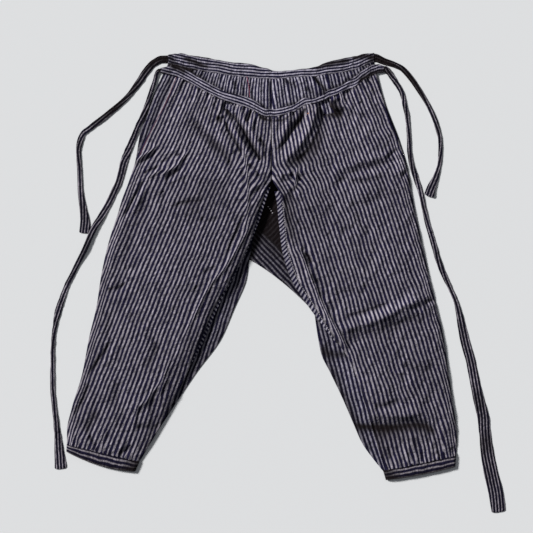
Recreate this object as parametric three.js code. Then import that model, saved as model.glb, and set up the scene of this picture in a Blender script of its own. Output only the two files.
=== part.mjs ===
// Monpe: wide work trousers of striped cotton with four tie strings, laid flat on their back.
// Millimetres. +X is the wearer's left, +Y runs up to the waist and +Z up off the surface.
// The origin is on the surface, under the middle of the garment with its ties spread.
//
// Each cut piece is one closed wall of cloth: a thin box whose grid is carried onto a surface
// that is worked out from a short table of sections. The back pieces lie on the surface, the
// front pieces stand over them as low hollows, and neighbours stay a seam's gap apart.

import * as THREE from 'three';
import { mergeVertices } from 'three/addons/utils/BufferGeometryUtils.js';

// Driving dimensions
const SEAM_GAP = 0.3; // between two pieces that are sewn together
const CLOTH = 1.2; // one layer of cotton with its folds pressed in
const BAND_CLOTH = 2.4; // a waistband, folded double over the raw edge
const TIE_CLOTH = 2; // a tie, a strip folded into a flat cord
const CUFF_HEIGHT = 7.4; // both layers of a flattened cuff and the hollow between them
const CUFF_CLOTH = 1.5; // wall of a cuff
const CUFF_CELLS = 40; // around a cuff
const CUFF_FLATNESS = 2.5; // 1 would leave a cuff oval, more presses its two sides flatter
const FRONT_FLOOR = CLOTH + SEAM_GAP; // lowest underside of anything that lies over the back
const STRIP_DROP = 6; // how far a gusset strip falls from the front panel towards the back
const STRIP_FULL = 7; // a strip this wide falls all the way
const STRIP_LEAST = 1.5; // narrowest that a strip shows beside its panel
const GUSSET_BOW = 9; // the seat gusset's free lower edge is hollowed by this much
const GUSSET_CELLS = 4; // across the seat gusset
const FRONT_STEPS = 3; // grid cells between two sections of a front panel or strip
const TIE_STEPS = 2; // grid cells between two bends of a tie
const TIE_REACH = 0.1; // part of a row to either side from which a tie takes its heading
const SEAM_MARGIN = 0.02; // a waistband station nearer a panel's end than this share is skipped
const DRAWN_ROWS = 2; // rows below the waist over which a panel is drawn to the band's edge

const NAVY = 0x34334d;
const DARK_NAVY = 0x24233a;

// Front panels, a row for each section from the waist seam down to the cuff seam.
// side and inseam are the ends of the section, rise is the height of the hollow midway,
// lift is how far the inseam edge stands over the back, strip is the gusset strip's width.
const FRONT_RIGHT = [
  { side: [-216, 435], inseam: [-12.7, 349], rise: 3, lift: 7, strip: 0 },
  { side: [-235, 388], inseam: [-12.7, 307], rise: 5, lift: 8, strip: 0 },
  { side: [-265, 330], inseam: [-12.7, 265], rise: 7, lift: 9, strip: 0 },
  { side: [-296, 265], inseam: [-12.7, 223], rise: 8, lift: 11, strip: 1 },
  { side: [-313, 216], inseam: [-28, 186], rise: 9, lift: 11, strip: 8 },
  { side: [-336, 149], inseam: [-44, 134], rise: 10, lift: 10, strip: 7 },
  { side: [-358, 79], inseam: [-62, 78], rise: 11, lift: 8, strip: 3 },
  { side: [-372, 15], inseam: [-94, 14], rise: 12, lift: 7, strip: 3 },
  { side: [-382, -50], inseam: [-134, -52], rise: 12, lift: 7, strip: 9 },
  { side: [-397, -113], inseam: [-162, -120], rise: 12, lift: 6, strip: 8 },
  { side: [-412, -191], inseam: [-195, -198], rise: 11, lift: 3, strip: 0 },
  { side: [-433, -260], inseam: [-231, -271], rise: 9, lift: 2, strip: 0 },
  { side: [-444, -309], inseam: [-265, -332], rise: 6.5, lift: 1.5, strip: 0 },
  { side: [-444, -339], inseam: [-293, -375], rise: 5, lift: 1, strip: 0 },
];
const FRONT_LEFT = [
  { side: [208, 438], inseam: [-12.4, 349], rise: 3, lift: 7, strip: 0 },
  { side: [220, 393], inseam: [-12.4, 307], rise: 5, lift: 8, strip: 0 },
  { side: [237, 340], inseam: [-12.4, 265], rise: 7, lift: 9, strip: 0 },
  { side: [255, 298], inseam: [-12.4, 223], rise: 8, lift: 11, strip: 1 },
  { side: [273, 242], inseam: [9, 178], rise: 9, lift: 11, strip: 13 },
  { side: [286, 166], inseam: [16, 122], rise: 10, lift: 10, strip: 14 },
  { side: [299, 105], inseam: [22, 72], rise: 11, lift: 9, strip: 14 },
  { side: [317, 21], inseam: [44, 6], rise: 12, lift: 8, strip: 15 },
  { side: [332, -42], inseam: [74, -42], rise: 12, lift: 7, strip: 14 },
  { side: [346, -101], inseam: [110, -102], rise: 12, lift: 6, strip: 6 },
  { side: [358, -178], inseam: [155, -172], rise: 11, lift: 4, strip: 0 },
  { side: [370, -262], inseam: [182, -250], rise: 9, lift: 2, strip: 0 },
  { side: [377, -317], inseam: [204, -325], rise: 6.5, lift: 1.5, strip: 0 },
  { side: [375, -363], inseam: [225, -394], rise: 5, lift: 1, strip: 0 },
];

// Gusset strips: the front panel each one is sewn to, its first and last grid row down that
// panel, and the way in x that it faces.
const GUSSET_STRIPS = [
  { name: 'gusset_strip_right', rows: FRONT_RIGHT, first: 11, last: 29, outward: 1 },
  { name: 'gusset_strip_left', rows: FRONT_LEFT, first: 11, last: 28, outward: -1 },
];

// Back panels, a row for each section. The seat gusset is set in between GUSSET_ROWS.
const BACK_RIGHT = [
  { side: [-231, 461], inseam: [-12.7, 430] },
  { side: [-267, 383], inseam: [-12.7, 345] },
  { side: [-289, 319], inseam: [-14, 262] },
  { side: [-302, 248], inseam: [-32, 200] },
  { side: [-330, 170], inseam: [-46, 128] },
  { side: [-344, 119], inseam: [-54, 84] },
  { side: [-358, 79], inseam: [-60, 50] },
  { side: [-372, 15], inseam: [-66, 9] },
  { side: [-382, -50], inseam: [-92, -54] },
  { side: [-397, -113], inseam: [-120, -118] },
  { side: [-412, -191], inseam: [-172, -189] },
  { side: [-433, -260], inseam: [-218, -258] },
  { side: [-444, -309], inseam: [-256, -317] },
  { side: [-444, -339], inseam: [-291, -376] },
];
const BACK_LEFT = [
  { side: [202, 464], inseam: [-12.4, 430] },
  { side: [223, 387], inseam: [-12.4, 345] },
  { side: [256, 300], inseam: [-11, 262] },
  { side: [273, 242], inseam: [26, 196] },
  { side: [286, 166], inseam: [50, 122] },
  { side: [306, 72], inseam: [66, 36] },
  { side: [332, -42], inseam: [77, -63] },
  { side: [346, -101], inseam: [83, -106] },
  { side: [355, -153], inseam: [91, -148] },
  { side: [359, -196], inseam: [111, -190] },
  { side: [365, -242], inseam: [134, -238] },
  { side: [373, -289], inseam: [157, -291] },
  { side: [377, -325], inseam: [178, -338] },
  { side: [375, -363], inseam: [221, -395] },
];
const GUSSET_ROWS = { first: 2, last: 6 };

// Waistbands, a row for each station along the waist: low and high edge, lift off the surface.
const BACK_BAND = [
  { x: -231, low: 462, high: 480, lift: 0 },
  { x: -216, low: 458, high: 483, lift: 0 },
  { x: -202, low: 455, high: 484, lift: 0 },
  { x: -185, low: 451, high: 479, lift: 0 },
  { x: -164, low: 447, high: 477, lift: 0 },
  { x: -132, low: 442, high: 471, lift: 0 },
  { x: -101, low: 437, high: 466, lift: 0 },
  { x: -69, low: 433, high: 463, lift: 0 },
  { x: -27, low: 430, high: 453, lift: 0 },
  { x: -2, low: 430, high: 447, lift: 0 },
  { x: 36, low: 433, high: 449, lift: 0 },
  { x: 74, low: 435, high: 454, lift: 0 },
  { x: 99, low: 438, high: 463, lift: 0 },
  { x: 141, low: 444, high: 474, lift: 0 },
  { x: 162, low: 449, high: 478, lift: 0 },
  { x: 183, low: 458, high: 483, lift: 0 },
  { x: 202, low: 465, high: 484, lift: 0 },
];
const FRONT_BAND = [
  { x: -247, low: 443, high: 451, lift: 1.6 },
  { x: -231, low: 440, high: 456, lift: 1.6 },
  { x: -216, low: 435, high: 455, lift: 2 },
  { x: -191, low: 424, high: 448, lift: 3 },
  { x: -162, low: 407, high: 430, lift: 5 },
  { x: -132, low: 392, high: 414, lift: 6.5 },
  { x: -101, low: 379, high: 398, lift: 7.5 },
  { x: -69, low: 370, high: 392, lift: 8 },
  { x: -44, low: 358, high: 381, lift: 8.5 },
  { x: -25, low: 350, high: 366, lift: 8.5 },
  { x: -13, low: 349, high: 364, lift: 8.5 },
  { x: 15, low: 353, high: 372, lift: 8.5 },
  { x: 32, low: 361, high: 375, lift: 8.5 },
  { x: 52, low: 371, high: 388, lift: 8 },
  { x: 82, low: 381, high: 391, lift: 7.5 },
  { x: 105, low: 389, high: 404, lift: 7 },
  { x: 136, low: 402, high: 417, lift: 6 },
  { x: 162, low: 413, high: 435, lift: 4 },
  { x: 178, low: 424, high: 447, lift: 3 },
  { x: 193, low: 434, high: 457, lift: 2 },
  { x: 208, low: 440, high: 460, lift: 1.6 },
  { x: 223, low: 444, high: 458, lift: 1.6 },
];

// Cuffs: the leg that each one closes, the ends of its lower edge and how far that edge bows down.
const CUFFS = [
  { name: 'cuff_right', leg: BACK_RIGHT, side: [-445, -354], inseam: [-300, -396], bow: 9 },
  { name: 'cuff_left', leg: BACK_LEFT, side: [373, -386], inseam: [227, -414], bow: 3 },
];

// Ties, a row for each bend from the waistband to the free end: place, width, lift.
const TIES = {
  back_tie_right: [
    { at: [-231.3, 471], wide: 16, lift: 0 },
    { at: [-244, 471], wide: 16, lift: 0 },
    { at: [-260, 464], wide: 15, lift: 0 },
    { at: [-280, 442], wide: 15, lift: 0 },
    { at: [-294, 420], wide: 14, lift: 0 },
    { at: [-310, 400], wide: 11, lift: 0 },
    { at: [-326, 383], wide: 10.5, lift: 0 },
    { at: [-351, 361], wide: 12, lift: 0 },
    { at: [-376, 341], wide: 13, lift: 0 },
    { at: [-395, 327], wide: 11.5, lift: 0 },
    { at: [-409, 316], wide: 11, lift: 0 },
    { at: [-416, 299], wide: 13, lift: 0 },
    { at: [-420, 275], wide: 10, lift: 0 },
    { at: [-418, 247], wide: 10, lift: 0 },
    { at: [-416, 200], wide: 11, lift: 0 },
    { at: [-410, 156], wide: 15.5, lift: 0 },
    { at: [-406, 127], wide: 21, lift: 0 },
    { at: [-407, 105], wide: 24, lift: 0 },
  ],
  front_tie_right: [
    { at: [-247.3, 447], wide: 8, lift: 1.6 },
    { at: [-249.5, 447], wide: 8, lift: 1.6 },
    { at: [-254, 443], wide: 8, lift: 1.6 },
    { at: [-257.5, 431], wide: 8, lift: 1 },
    { at: [-265.5, 406], wide: 9, lift: 0 },
    { at: [-274.5, 378], wide: 9.5, lift: 0 },
    { at: [-285, 350], wide: 11, lift: 0 },
    { at: [-296, 326], wide: 11.5, lift: 0 },
    { at: [-306, 301], wide: 13, lift: 0 },
    { at: [-317, 274], wide: 15, lift: 0 },
    { at: [-323, 257], wide: 16, lift: 0 },
    { at: [-332, 221], wide: 15, lift: 0 },
    { at: [-348, 184], wide: 14, lift: 0 },
    { at: [-368, 146], wide: 14, lift: 0.5 },
    { at: [-387, 115], wide: 13, lift: 2.3 },
    { at: [-405, 74], wide: 11.5, lift: 2.3 },
    { at: [-428, 28], wide: 10, lift: 0 },
    { at: [-443, -2], wide: 10.5, lift: 0 },
    { at: [-454, -32], wide: 12, lift: 0 },
    { at: [-462, -57], wide: 14, lift: 0 },
    { at: [-468, -83], wide: 10, lift: 0 },
    { at: [-472, -110], wide: 8, lift: 0 },
    { at: [-474, -147], wide: 8.5, lift: 0 },
    { at: [-474.5, -205], wide: 9.7, lift: 0 },
    { at: [-470, -268], wide: 10, lift: 0 },
    { at: [-465, -308], wide: 12.5, lift: 0 },
    { at: [-461, -348], wide: 19, lift: 0 },
    { at: [-457, -391], wide: 26, lift: 0 },
  ],
  back_tie_left: [
    { at: [202.3, 474], wide: 18, lift: 0 },
    { at: [207, 474], wide: 17, lift: 0 },
    { at: [226, 466], wide: 14, lift: 0 },
    { at: [247, 459], wide: 12, lift: 0 },
    { at: [259, 453], wide: 11.5, lift: 0 },
    { at: [279, 432], wide: 11, lift: 0 },
    { at: [295, 409], wide: 10.5, lift: 0 },
    { at: [311, 383], wide: 9, lift: 0 },
    { at: [324, 359], wide: 9.5, lift: 0 },
    { at: [334, 332], wide: 10, lift: 0 },
    { at: [341, 305], wide: 8.5, lift: 0 },
    { at: [342, 279], wide: 8.5, lift: 0 },
    { at: [340, 252], wide: 8.5, lift: 0 },
    { at: [333, 226], wide: 12, lift: 0 },
    { at: [324, 203], wide: 18, lift: 1.5 },
    { at: [317, 183], wide: 22, lift: 2.4 },
  ],
  front_tie_left: [
    { at: [223.3, 450], wide: 13, lift: 1.6 },
    { at: [226, 450], wide: 13, lift: 1.6 },
    { at: [232, 445], wide: 12, lift: 1.6 },
    { at: [240, 433], wide: 11, lift: 1 },
    { at: [253, 415], wide: 10, lift: 0 },
    { at: [262, 396], wide: 9.5, lift: 0 },
    { at: [267, 375], wide: 9.5, lift: 0 },
    { at: [272, 349], wide: 9.5, lift: 0 },
    { at: [275, 322], wide: 8.5, lift: 0 },
    { at: [276, 290], wide: 9, lift: 0 },
    { at: [280, 255], wide: 10, lift: 0 },
    { at: [289, 225], wide: 11.5, lift: 0 },
    { at: [299, 196], wide: 10.5, lift: 0 },
    { at: [307, 158], wide: 9.5, lift: 0 },
    { at: [319, 111], wide: 10.5, lift: 0 },
    { at: [328, 81], wide: 11.5, lift: 0 },
    { at: [338, 47], wide: 11.5, lift: 0 },
    { at: [353, 9], wide: 10.5, lift: 0 },
    { at: [365, -16], wide: 9, lift: 0 },
    { at: [376, -43], wide: 10, lift: 0 },
    { at: [385, -82], wide: 16, lift: 0 },
    { at: [395, -126], wide: 19.5, lift: 0 },
    { at: [407, -170], wide: 20, lift: 0 },
    { at: [416, -215], wide: 21, lift: 0 },
    { at: [426, -258], wide: 23.5, lift: 0 },
    { at: [433, -287], wide: 25, lift: 0 },
    { at: [436, -316], wide: 24.5, lift: 0 },
    { at: [441, -360], wide: 28, lift: 0 },
    { at: [450, -405], wide: 30, lift: 0 },
    { at: [460, -449], wide: 31, lift: 0 },
    { at: [465, -482], wide: 29, lift: 0 },
  ],
};

// Main folds of the fronts: a soft ridge, or a trough where high is negative, tapering at both ends.
const FOLDS_RIGHT = [
  { from: [-107, 372], to: [-30, 250], wide: 13, high: -3.5 },
  { from: [-126, 366], to: [-60, 262], wide: 12, high: 2.5 },
  { from: [-296, 262], to: [-250, 290], wide: 12, high: 3 },
  { from: [-103, 2], to: [-153, -112], wide: 14, high: 3 },
  { from: [-223, -166], to: [-305, -250], wide: 18, high: 3 },
];
const FOLDS_LEFT = [
  { from: [97, 380], to: [8, 246], wide: 14, high: -3.5 },
  { from: [120, 372], to: [60, 262], wide: 14, high: 2.5 },
  { from: [140, 228], to: [255, 256], wide: 13, high: -3 },
  { from: [149, -103], to: [336, -42], wide: 16, high: 3 },
  { from: [216, -288], to: [336, -298], wide: 14, high: -3 },
];

/** Cubic blend through a list of numbers at a position in list steps, never past its neighbours. */
function smooth(values, position) {
  const last = values.length - 1;
  const start = Math.min(Math.floor(position), last - 1);
  const part = position - start;
  const [a, b, c, d] = [-1, 0, 1, 2].map((k) => values[THREE.MathUtils.clamp(start + k, 0, last)]);
  const leave = easedSlope(b - a, c - b);
  const arrive = easedSlope(c - b, d - c);
  const spare = c - b;
  return b + part * (leave + part * (3 * spare - 2 * leave - arrive + part * (leave + arrive - 2 * spare)));
}

/** Slope at a table value between two steps: flat at a peak, and nearer the gentler step. */
function easedSlope(before, after) {
  return before * after > 0 ? (2 * before * after) / (before + after) : 0;
}

/** A table's column at a position counted in rows; a pair is blended axis by axis. */
function column(rows, name, position) {
  if (!Array.isArray(rows[0][name])) return smooth(rows.map((row) => row[name]), position);
  return [0, 1].map((axis) => smooth(rows.map((row) => row[name][axis]), position));
}

/** A bow over a length: nothing at both ends and 1 midway. */
function bowed(share) {
  return 4 * share * (1 - share);
}

/** Row position at which a waistband table reaches a given x. */
function stationAt(band, x) {
  const next = Math.max(1, band.findIndex((row) => row.x >= x));
  const [low, high] = [band[next - 1].x, band[next].x];
  return next - 1 + (x - low) / (high - low);
}

/** Shares of the way from side to inseam at which a panel meets the band's stations. */
function seamShares(waist, band) {
  const share = (x) => (x - waist.side[0]) / (waist.inseam[0] - waist.side[0]);
  const inner = band.map((row) => share(row.x)).sort((a, b) => a - b);
  return [0, ...inner.filter((value) => value > SEAM_MARGIN && value < 1 - SEAM_MARGIN), 1];
}

/** One closed wall of cloth: a box grid carried onto place(across, down, layer), layer 0 below. */
function wall(name, acrossCells, downCells, place, colour = NAVY) {
  const grid = new THREE.BoxGeometry(1, 1, 1, acrossCells, downCells, 1);
  return clothMesh(name, grid, (p) => place(p.x + 0.5, 0.5 - p.y, p.z + 0.5), colour);
}

/** Moves every point of a closed grid by carry, turns its faces outward and names the mesh. */
function clothMesh(name, grid, carry, colour) {
  grid.deleteAttribute('normal');
  grid.deleteAttribute('uv');
  const geometry = mergeVertices(grid);
  const points = geometry.attributes.position;
  const point = new THREE.Vector3();
  for (let i = 0; i < points.count; i += 1) {
    points.setXYZ(i, ...carry(point.fromBufferAttribute(points, i)));
  }
  if (signedVolume(geometry) < 0) {
    geometry.index.array.reverse();
  }
  geometry.computeVertexNormals();
  const material = new THREE.MeshStandardMaterial({ color: colour, roughness: 0.92, metalness: 0 });
  const mesh = new THREE.Mesh(geometry, material);
  mesh.name = name;
  return mesh;
}

function signedVolume(geometry) {
  const { position } = geometry.attributes;
  const corners = [new THREE.Vector3(), new THREE.Vector3(), new THREE.Vector3()];
  let volume = 0;
  for (let i = 0; i < geometry.index.count; i += 3) {
    corners.forEach((corner, k) => corner.fromBufferAttribute(position, geometry.index.getX(i + k)));
    volume += corners[0].dot(corners[1].clone().cross(corners[2])) / 6;
  }
  return volume;
}

/** Height that the folds add at a point: a bell across each fold, fading towards its ends. */
function foldHeight(folds, x, y) {
  let height = 0;
  for (const { from, to, wide, high } of folds) {
    const run = [to[0] - from[0], to[1] - from[1]];
    const length = Math.hypot(...run);
    const alongFold = ((x - from[0]) * run[0] + (y - from[1]) * run[1]) / length;
    const offFold = ((x - from[0]) * run[1] - (y - from[1]) * run[0]) / length;
    const beyond = Math.max(0, -alongFold, alongFold - length);
    height += high * Math.exp(-((offFold / wide) ** 2) - (beyond / wide) ** 2);
  }
  return height;
}

/** Point between the ends of a section, with the first rows drawn to the band's lower edge. */
function sectionPoint(rows, across, position, band) {
  const side = column(rows, 'side', position);
  const inseam = column(rows, 'inseam', position);
  const x = THREE.MathUtils.lerp(side[0], inseam[0], across);
  const y = THREE.MathUtils.lerp(side[1], inseam[1], across);
  const waistX = THREE.MathUtils.lerp(rows[0].side[0], rows[0].inseam[0], across);
  const waistY = THREE.MathUtils.lerp(rows[0].side[1], rows[0].inseam[1], across);
  const seamY = column(band, 'low', stationAt(band, waistX)) - SEAM_GAP;
  const drawn = Math.max(0, 1 - position / DRAWN_ROWS) ** 2;
  return [x, y + (seamY - waistY) * drawn];
}

/** Height of a front panel's underside: its hollow, its lifted inseam and its folds. */
function frontHeight(rows, folds, across, position, x, y) {
  const hollow = column(rows, 'rise', position) * Math.sqrt(Math.max(0, bowed(across)));
  const tilt = column(rows, 'lift', position) * across ** 2;
  const inner = Math.sin(Math.PI * across);
  return FRONT_FLOOR + Math.max(0, hollow + tilt + foldHeight(folds, x, y) * inner);
}

function frontPanel(name, rows, folds) {
  const shares = seamShares(rows[0], FRONT_BAND);
  const cells = shares.length - 1;
  const place = (across, down, layer) => {
    const share = shares[Math.round(across * cells)];
    const position = down * (rows.length - 1);
    const [x, y] = sectionPoint(rows, share, position, FRONT_BAND);
    return [x, y, frontHeight(rows, folds, share, position, x, y) + layer * CLOTH];
  };
  return wall(name, cells, (rows.length - 1) * FRONT_STEPS, place);
}

function backPanel(name, rows) {
  const shares = seamShares(rows[0], BACK_BAND);
  const cells = shares.length - 1;
  const place = (across, down, layer) => {
    const share = shares[Math.round(across * cells)];
    const [x, y] = sectionPoint(rows, share, down * (rows.length - 1), BACK_BAND);
    return [x, y, layer * CLOTH];
  };
  return wall(name, cells, rows.length - 1, place, DARK_NAVY);
}

/** Seat gusset: its two sides follow the inseams of the back panels. */
function seatGusset() {
  const span = GUSSET_ROWS.last - GUSSET_ROWS.first;
  const place = (across, down, layer) => {
    const position = GUSSET_ROWS.first + down * span;
    const right = column(BACK_RIGHT, 'inseam', position);
    const left = column(BACK_LEFT, 'inseam', position);
    const x = THREE.MathUtils.lerp(right[0] + SEAM_GAP, left[0] - SEAM_GAP, across);
    const bow = GUSSET_BOW * bowed(across) * down ** 3;
    return [x, THREE.MathUtils.lerp(right[1], left[1], across) + bow, layer * CLOTH];
  };
  return wall('seat_gusset', GUSSET_CELLS, span, place, DARK_NAVY);
}

/** Gusset strip along a front panel's inseam, falling from it towards the back. */
function gussetStrip({ name, rows, first, last, outward }) {
  const place = (across, down, layer) => {
    const position = (first + down * (last - first)) / FRONT_STEPS;
    const [x, y] = column(rows, 'inseam', position);
    const wide = Math.max(STRIP_LEAST, column(rows, 'strip', position));
    const drop = STRIP_DROP * across * Math.min(1, wide / STRIP_FULL);
    const under = Math.max(0, column(rows, 'lift', position) - drop);
    return [x + outward * (2 * SEAM_GAP + wide * across), y, FRONT_FLOOR + under + layer * CLOTH];
  };
  return wall(name, 1, last - first, place, DARK_NAVY);
}

function waistband(name, band) {
  const place = (across, down, layer) => {
    const position = down * (band.length - 1);
    const x = column(band, 'x', position);
    const y = THREE.MathUtils.lerp(column(band, 'low', position), column(band, 'high', position), across);
    return [x, y, column(band, 'lift', position) + layer * BAND_CLOTH];
  };
  return wall(name, 2, band.length - 1, place);
}

/** A cuff: a ring of cloth pressed flat, open from its upper to its lower edge. */
function cuff({ name, leg, side, inseam, bow }) {
  const hem = leg[leg.length - 1];
  const profile = [[1, 0], [1, 1], [0, 1], [0, 0], [1, 0]].map(([r, h]) => new THREE.Vector2(r + 1, h));
  const ring = new THREE.LatheGeometry(profile, CUFF_CELLS);
  const half = Math.hypot(hem.inseam[0] - hem.side[0], hem.inseam[1] - hem.side[1]) / 2;
  const carry = (p) => {
    const inward = CUFF_CLOTH * (2 - Math.hypot(p.x, p.z));
    const turn = Math.atan2(p.z, p.x);
    const across = (1 + Math.cos(turn) * (1 - inward / half)) / 2;
    const flat = THREE.MathUtils.clamp(CUFF_FLATNESS * Math.sin(turn), -1, 1);
    const down = 1 - p.y;
    const [x, top] = [0, 1].map((axis) => THREE.MathUtils.lerp(hem.side[axis], hem.inseam[axis], across));
    const [lowX, low] = [0, 1].map((axis) => THREE.MathUtils.lerp(side[axis], inseam[axis], across));
    const y = THREE.MathUtils.lerp(top - SEAM_GAP, low - bow * bowed(across), down);
    return [THREE.MathUtils.lerp(x, lowX, down), y, CUFF_HEIGHT / 2 + flat * (CUFF_HEIGHT / 2 - inward)];
  };
  return clothMesh(name, ring, carry, NAVY);
}

function tie(name, rows) {
  const place = (across, down, layer) => {
    const position = down * (rows.length - 1);
    const [x, y] = column(rows, 'at', position);
    const before = column(rows, 'at', Math.max(0, position - TIE_REACH));
    const after = column(rows, 'at', Math.min(rows.length - 1, position + TIE_REACH));
    const heading = Math.atan2(after[1] - before[1], after[0] - before[0]);
    const off = (across - 0.5) * column(rows, 'wide', position);
    const z = Math.max(0, column(rows, 'lift', position)) + layer * TIE_CLOTH;
    return [x - off * Math.sin(heading), y + off * Math.cos(heading), z];
  };
  return wall(name, 1, (rows.length - 1) * TIE_STEPS, place);
}

const group = new THREE.Group();
group.add(
  backPanel('back_leg_right', BACK_RIGHT),
  backPanel('back_leg_left', BACK_LEFT),
  seatGusset(),
  frontPanel('front_leg_right', FRONT_RIGHT, FOLDS_RIGHT),
  frontPanel('front_leg_left', FRONT_LEFT, FOLDS_LEFT),
  waistband('back_waistband', BACK_BAND),
  waistband('front_waistband', FRONT_BAND),
);
for (const row of GUSSET_STRIPS) {
  group.add(gussetStrip(row));
}
for (const row of CUFFS) {
  group.add(cuff(row));
}
for (const [name, rows] of Object.entries(TIES)) {
  group.add(tie(name, rows));
}

export default group;
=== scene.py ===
import math
from collections import namedtuple

import bmesh
import bpy
import numpy as np
from mathutils import Matrix, Vector


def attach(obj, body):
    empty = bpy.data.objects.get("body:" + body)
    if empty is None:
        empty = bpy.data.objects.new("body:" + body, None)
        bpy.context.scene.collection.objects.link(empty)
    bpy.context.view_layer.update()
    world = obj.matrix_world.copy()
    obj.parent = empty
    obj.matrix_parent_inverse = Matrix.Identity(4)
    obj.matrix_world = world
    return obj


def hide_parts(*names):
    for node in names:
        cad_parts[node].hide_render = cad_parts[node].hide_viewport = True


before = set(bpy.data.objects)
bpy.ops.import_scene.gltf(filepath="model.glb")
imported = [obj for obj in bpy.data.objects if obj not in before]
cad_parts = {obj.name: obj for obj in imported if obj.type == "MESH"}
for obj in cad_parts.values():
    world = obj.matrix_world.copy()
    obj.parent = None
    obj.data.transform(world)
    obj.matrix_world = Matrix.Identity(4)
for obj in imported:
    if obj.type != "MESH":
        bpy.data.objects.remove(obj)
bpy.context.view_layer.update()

# ---------------------------------------------------------------------------------------------
# Back leg panels. Two panels of striped cotton, cut along the stripes and sewn together down the
# centre back. They lie flat on the table, under the front. Their inner face shows between the two
# waistbands, where it is gathered under the back one, beside the slits and between the legs.

MM = 0.001
CLOTH = 1.2  # depth of one layer of cotton with its small folds
SHEET = 0.7  # thickness of the shell that shows it
SEAM_GAP = 0.3  # gap that the solids leave at a seam, which the overlap more than closes here
STRIPE = 8.6  # one navy and one grey stripe
OVERLAP = 0.9  # how far a piece runs in under its neighbour, less the gap at a band

# side and inseam are the ends of a section from the waist down, slants the lean of the stripes at
# even steps from side to inseam, in degrees from straight down towards the wearer's right, and
# pitch the width of a pair of stripes
BackSection = namedtuple("BackSection", "side inseam slants pitch")
BACK_RIGHT = [
    BackSection((-231, 461), (-12.7, 430), (30, 36, 14, 12, -6), 7.5),
    BackSection((-267, 383), (-12.7, 345), (25, 25, 16, 8, -6), 7.6),
    BackSection((-289, 319), (-14, 262), (20, 22, 18, 12, 0), 7.9),
    BackSection((-302, 248), (-32, 200), (19, 21, 20, 16, 8), 8.1),
    BackSection((-330, 170), (-46, 128), (20, 21, 20, 18, 14), 8.3),
    BackSection((-344, 119), (-54, 84), (20, 21, 20, 18, 15), 8.3),
    BackSection((-358, 79), (-60, 50), (20, 21, 20, 17, 15), 8.4),
    BackSection((-372, 15), (-66, 9), (19, 20, 20, 17, 15), 8.6),
    BackSection((-382, -50), (-92, -54), (18, 20, 20, 17, 15), 8.6),
    BackSection((-397, -113), (-120, -118), (18, 20, 20, 17, 14), 8.6),
    BackSection((-412, -191), (-172, -189), (18, 20, 20, 18, 16), 8.6),
    BackSection((-433, -260), (-218, -258), (18, 20, 20, 18, 16), 8.6),
    BackSection((-444, -309), (-256, -317), (16, 20, 20, 18, 17), 8.4),
    BackSection((-444, -339), (-291, -376), (12, 18, 20, 20, 22), 8.2),
]
BACK_LEFT = [
    BackSection((202, 464), (-12.4, 430), (-24, -15, -14, -14, -7), 7.5),
    BackSection((223, 387), (-12.4, 345), (-22, -18, -16, -12, -6), 7.7),
    BackSection((256, 300), (-11, 262), (-20, -20, -18, -14, -8), 8.0),
    BackSection((273, 242), (26, 196), (-18, -20, -20, -18, -14), 8.2),
    BackSection((286, 166), (50, 122), (-16, -20, -20, -18, -16), 8.3),
    BackSection((306, 72), (66, 36), (-16, -20, -20, -16, -12), 8.4),
    BackSection((332, -42), (77, -63), (-16, -20, -20, -14, -9), 8.8),
    BackSection((346, -101), (83, -106), (-16, -18, -18, -12, -9), 9.2),
    BackSection((355, -153), (91, -148), (-16, -18, -18, -11, -9), 9.3),
    BackSection((359, -196), (111, -190), (-16, -18, -18, -11, -9), 9.3),
    BackSection((365, -242), (134, -238), (-16, -18, -18, -12, -10), 9.2),
    BackSection((373, -289), (157, -291), (-15, -18, -18, -14, -12), 9.0),
    BackSection((377, -325), (178, -338), (-13, -16, -18, -17, -17), 8.6),
    BackSection((375, -363), (221, -395), (-8, -13, -16, -18, -20), 8.2),
]
BandStation = namedtuple("BandStation", "x low high lift")
BACK_BAND = [
    BandStation(-231, 462, 480, 0),
    BandStation(-216, 458, 483, 0),
    BandStation(-202, 455, 484, 0),
    BandStation(-185, 451, 479, 0),
    BandStation(-164, 447, 477, 0),
    BandStation(-132, 442, 471, 0),
    BandStation(-101, 437, 466, 0),
    BandStation(-69, 433, 463, 0),
    BandStation(-27, 430, 453, 0),
    BandStation(-2, 430, 447, 0),
    BandStation(36, 433, 449, 0),
    BandStation(74, 435, 454, 0),
    BandStation(99, 438, 463, 0),
    BandStation(141, 444, 474, 0),
    BandStation(162, 449, 478, 0),
    BandStation(183, 458, 483, 0),
    BandStation(202, 465, 484, 0),
]

# A crease runs along points. high is its height, or its depth where negative, wide half its
# breadth, lean makes the flank on the left of its run steeper, or the right one where negative,
# fades are the shares of its length over which it starts and ends, and closed is the cloth that
# is closed up in it from each side
Crease = namedtuple("Crease", "points high wide lean fades closed", defaults=(0.0, (0.15, 0.2), 0))
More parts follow.
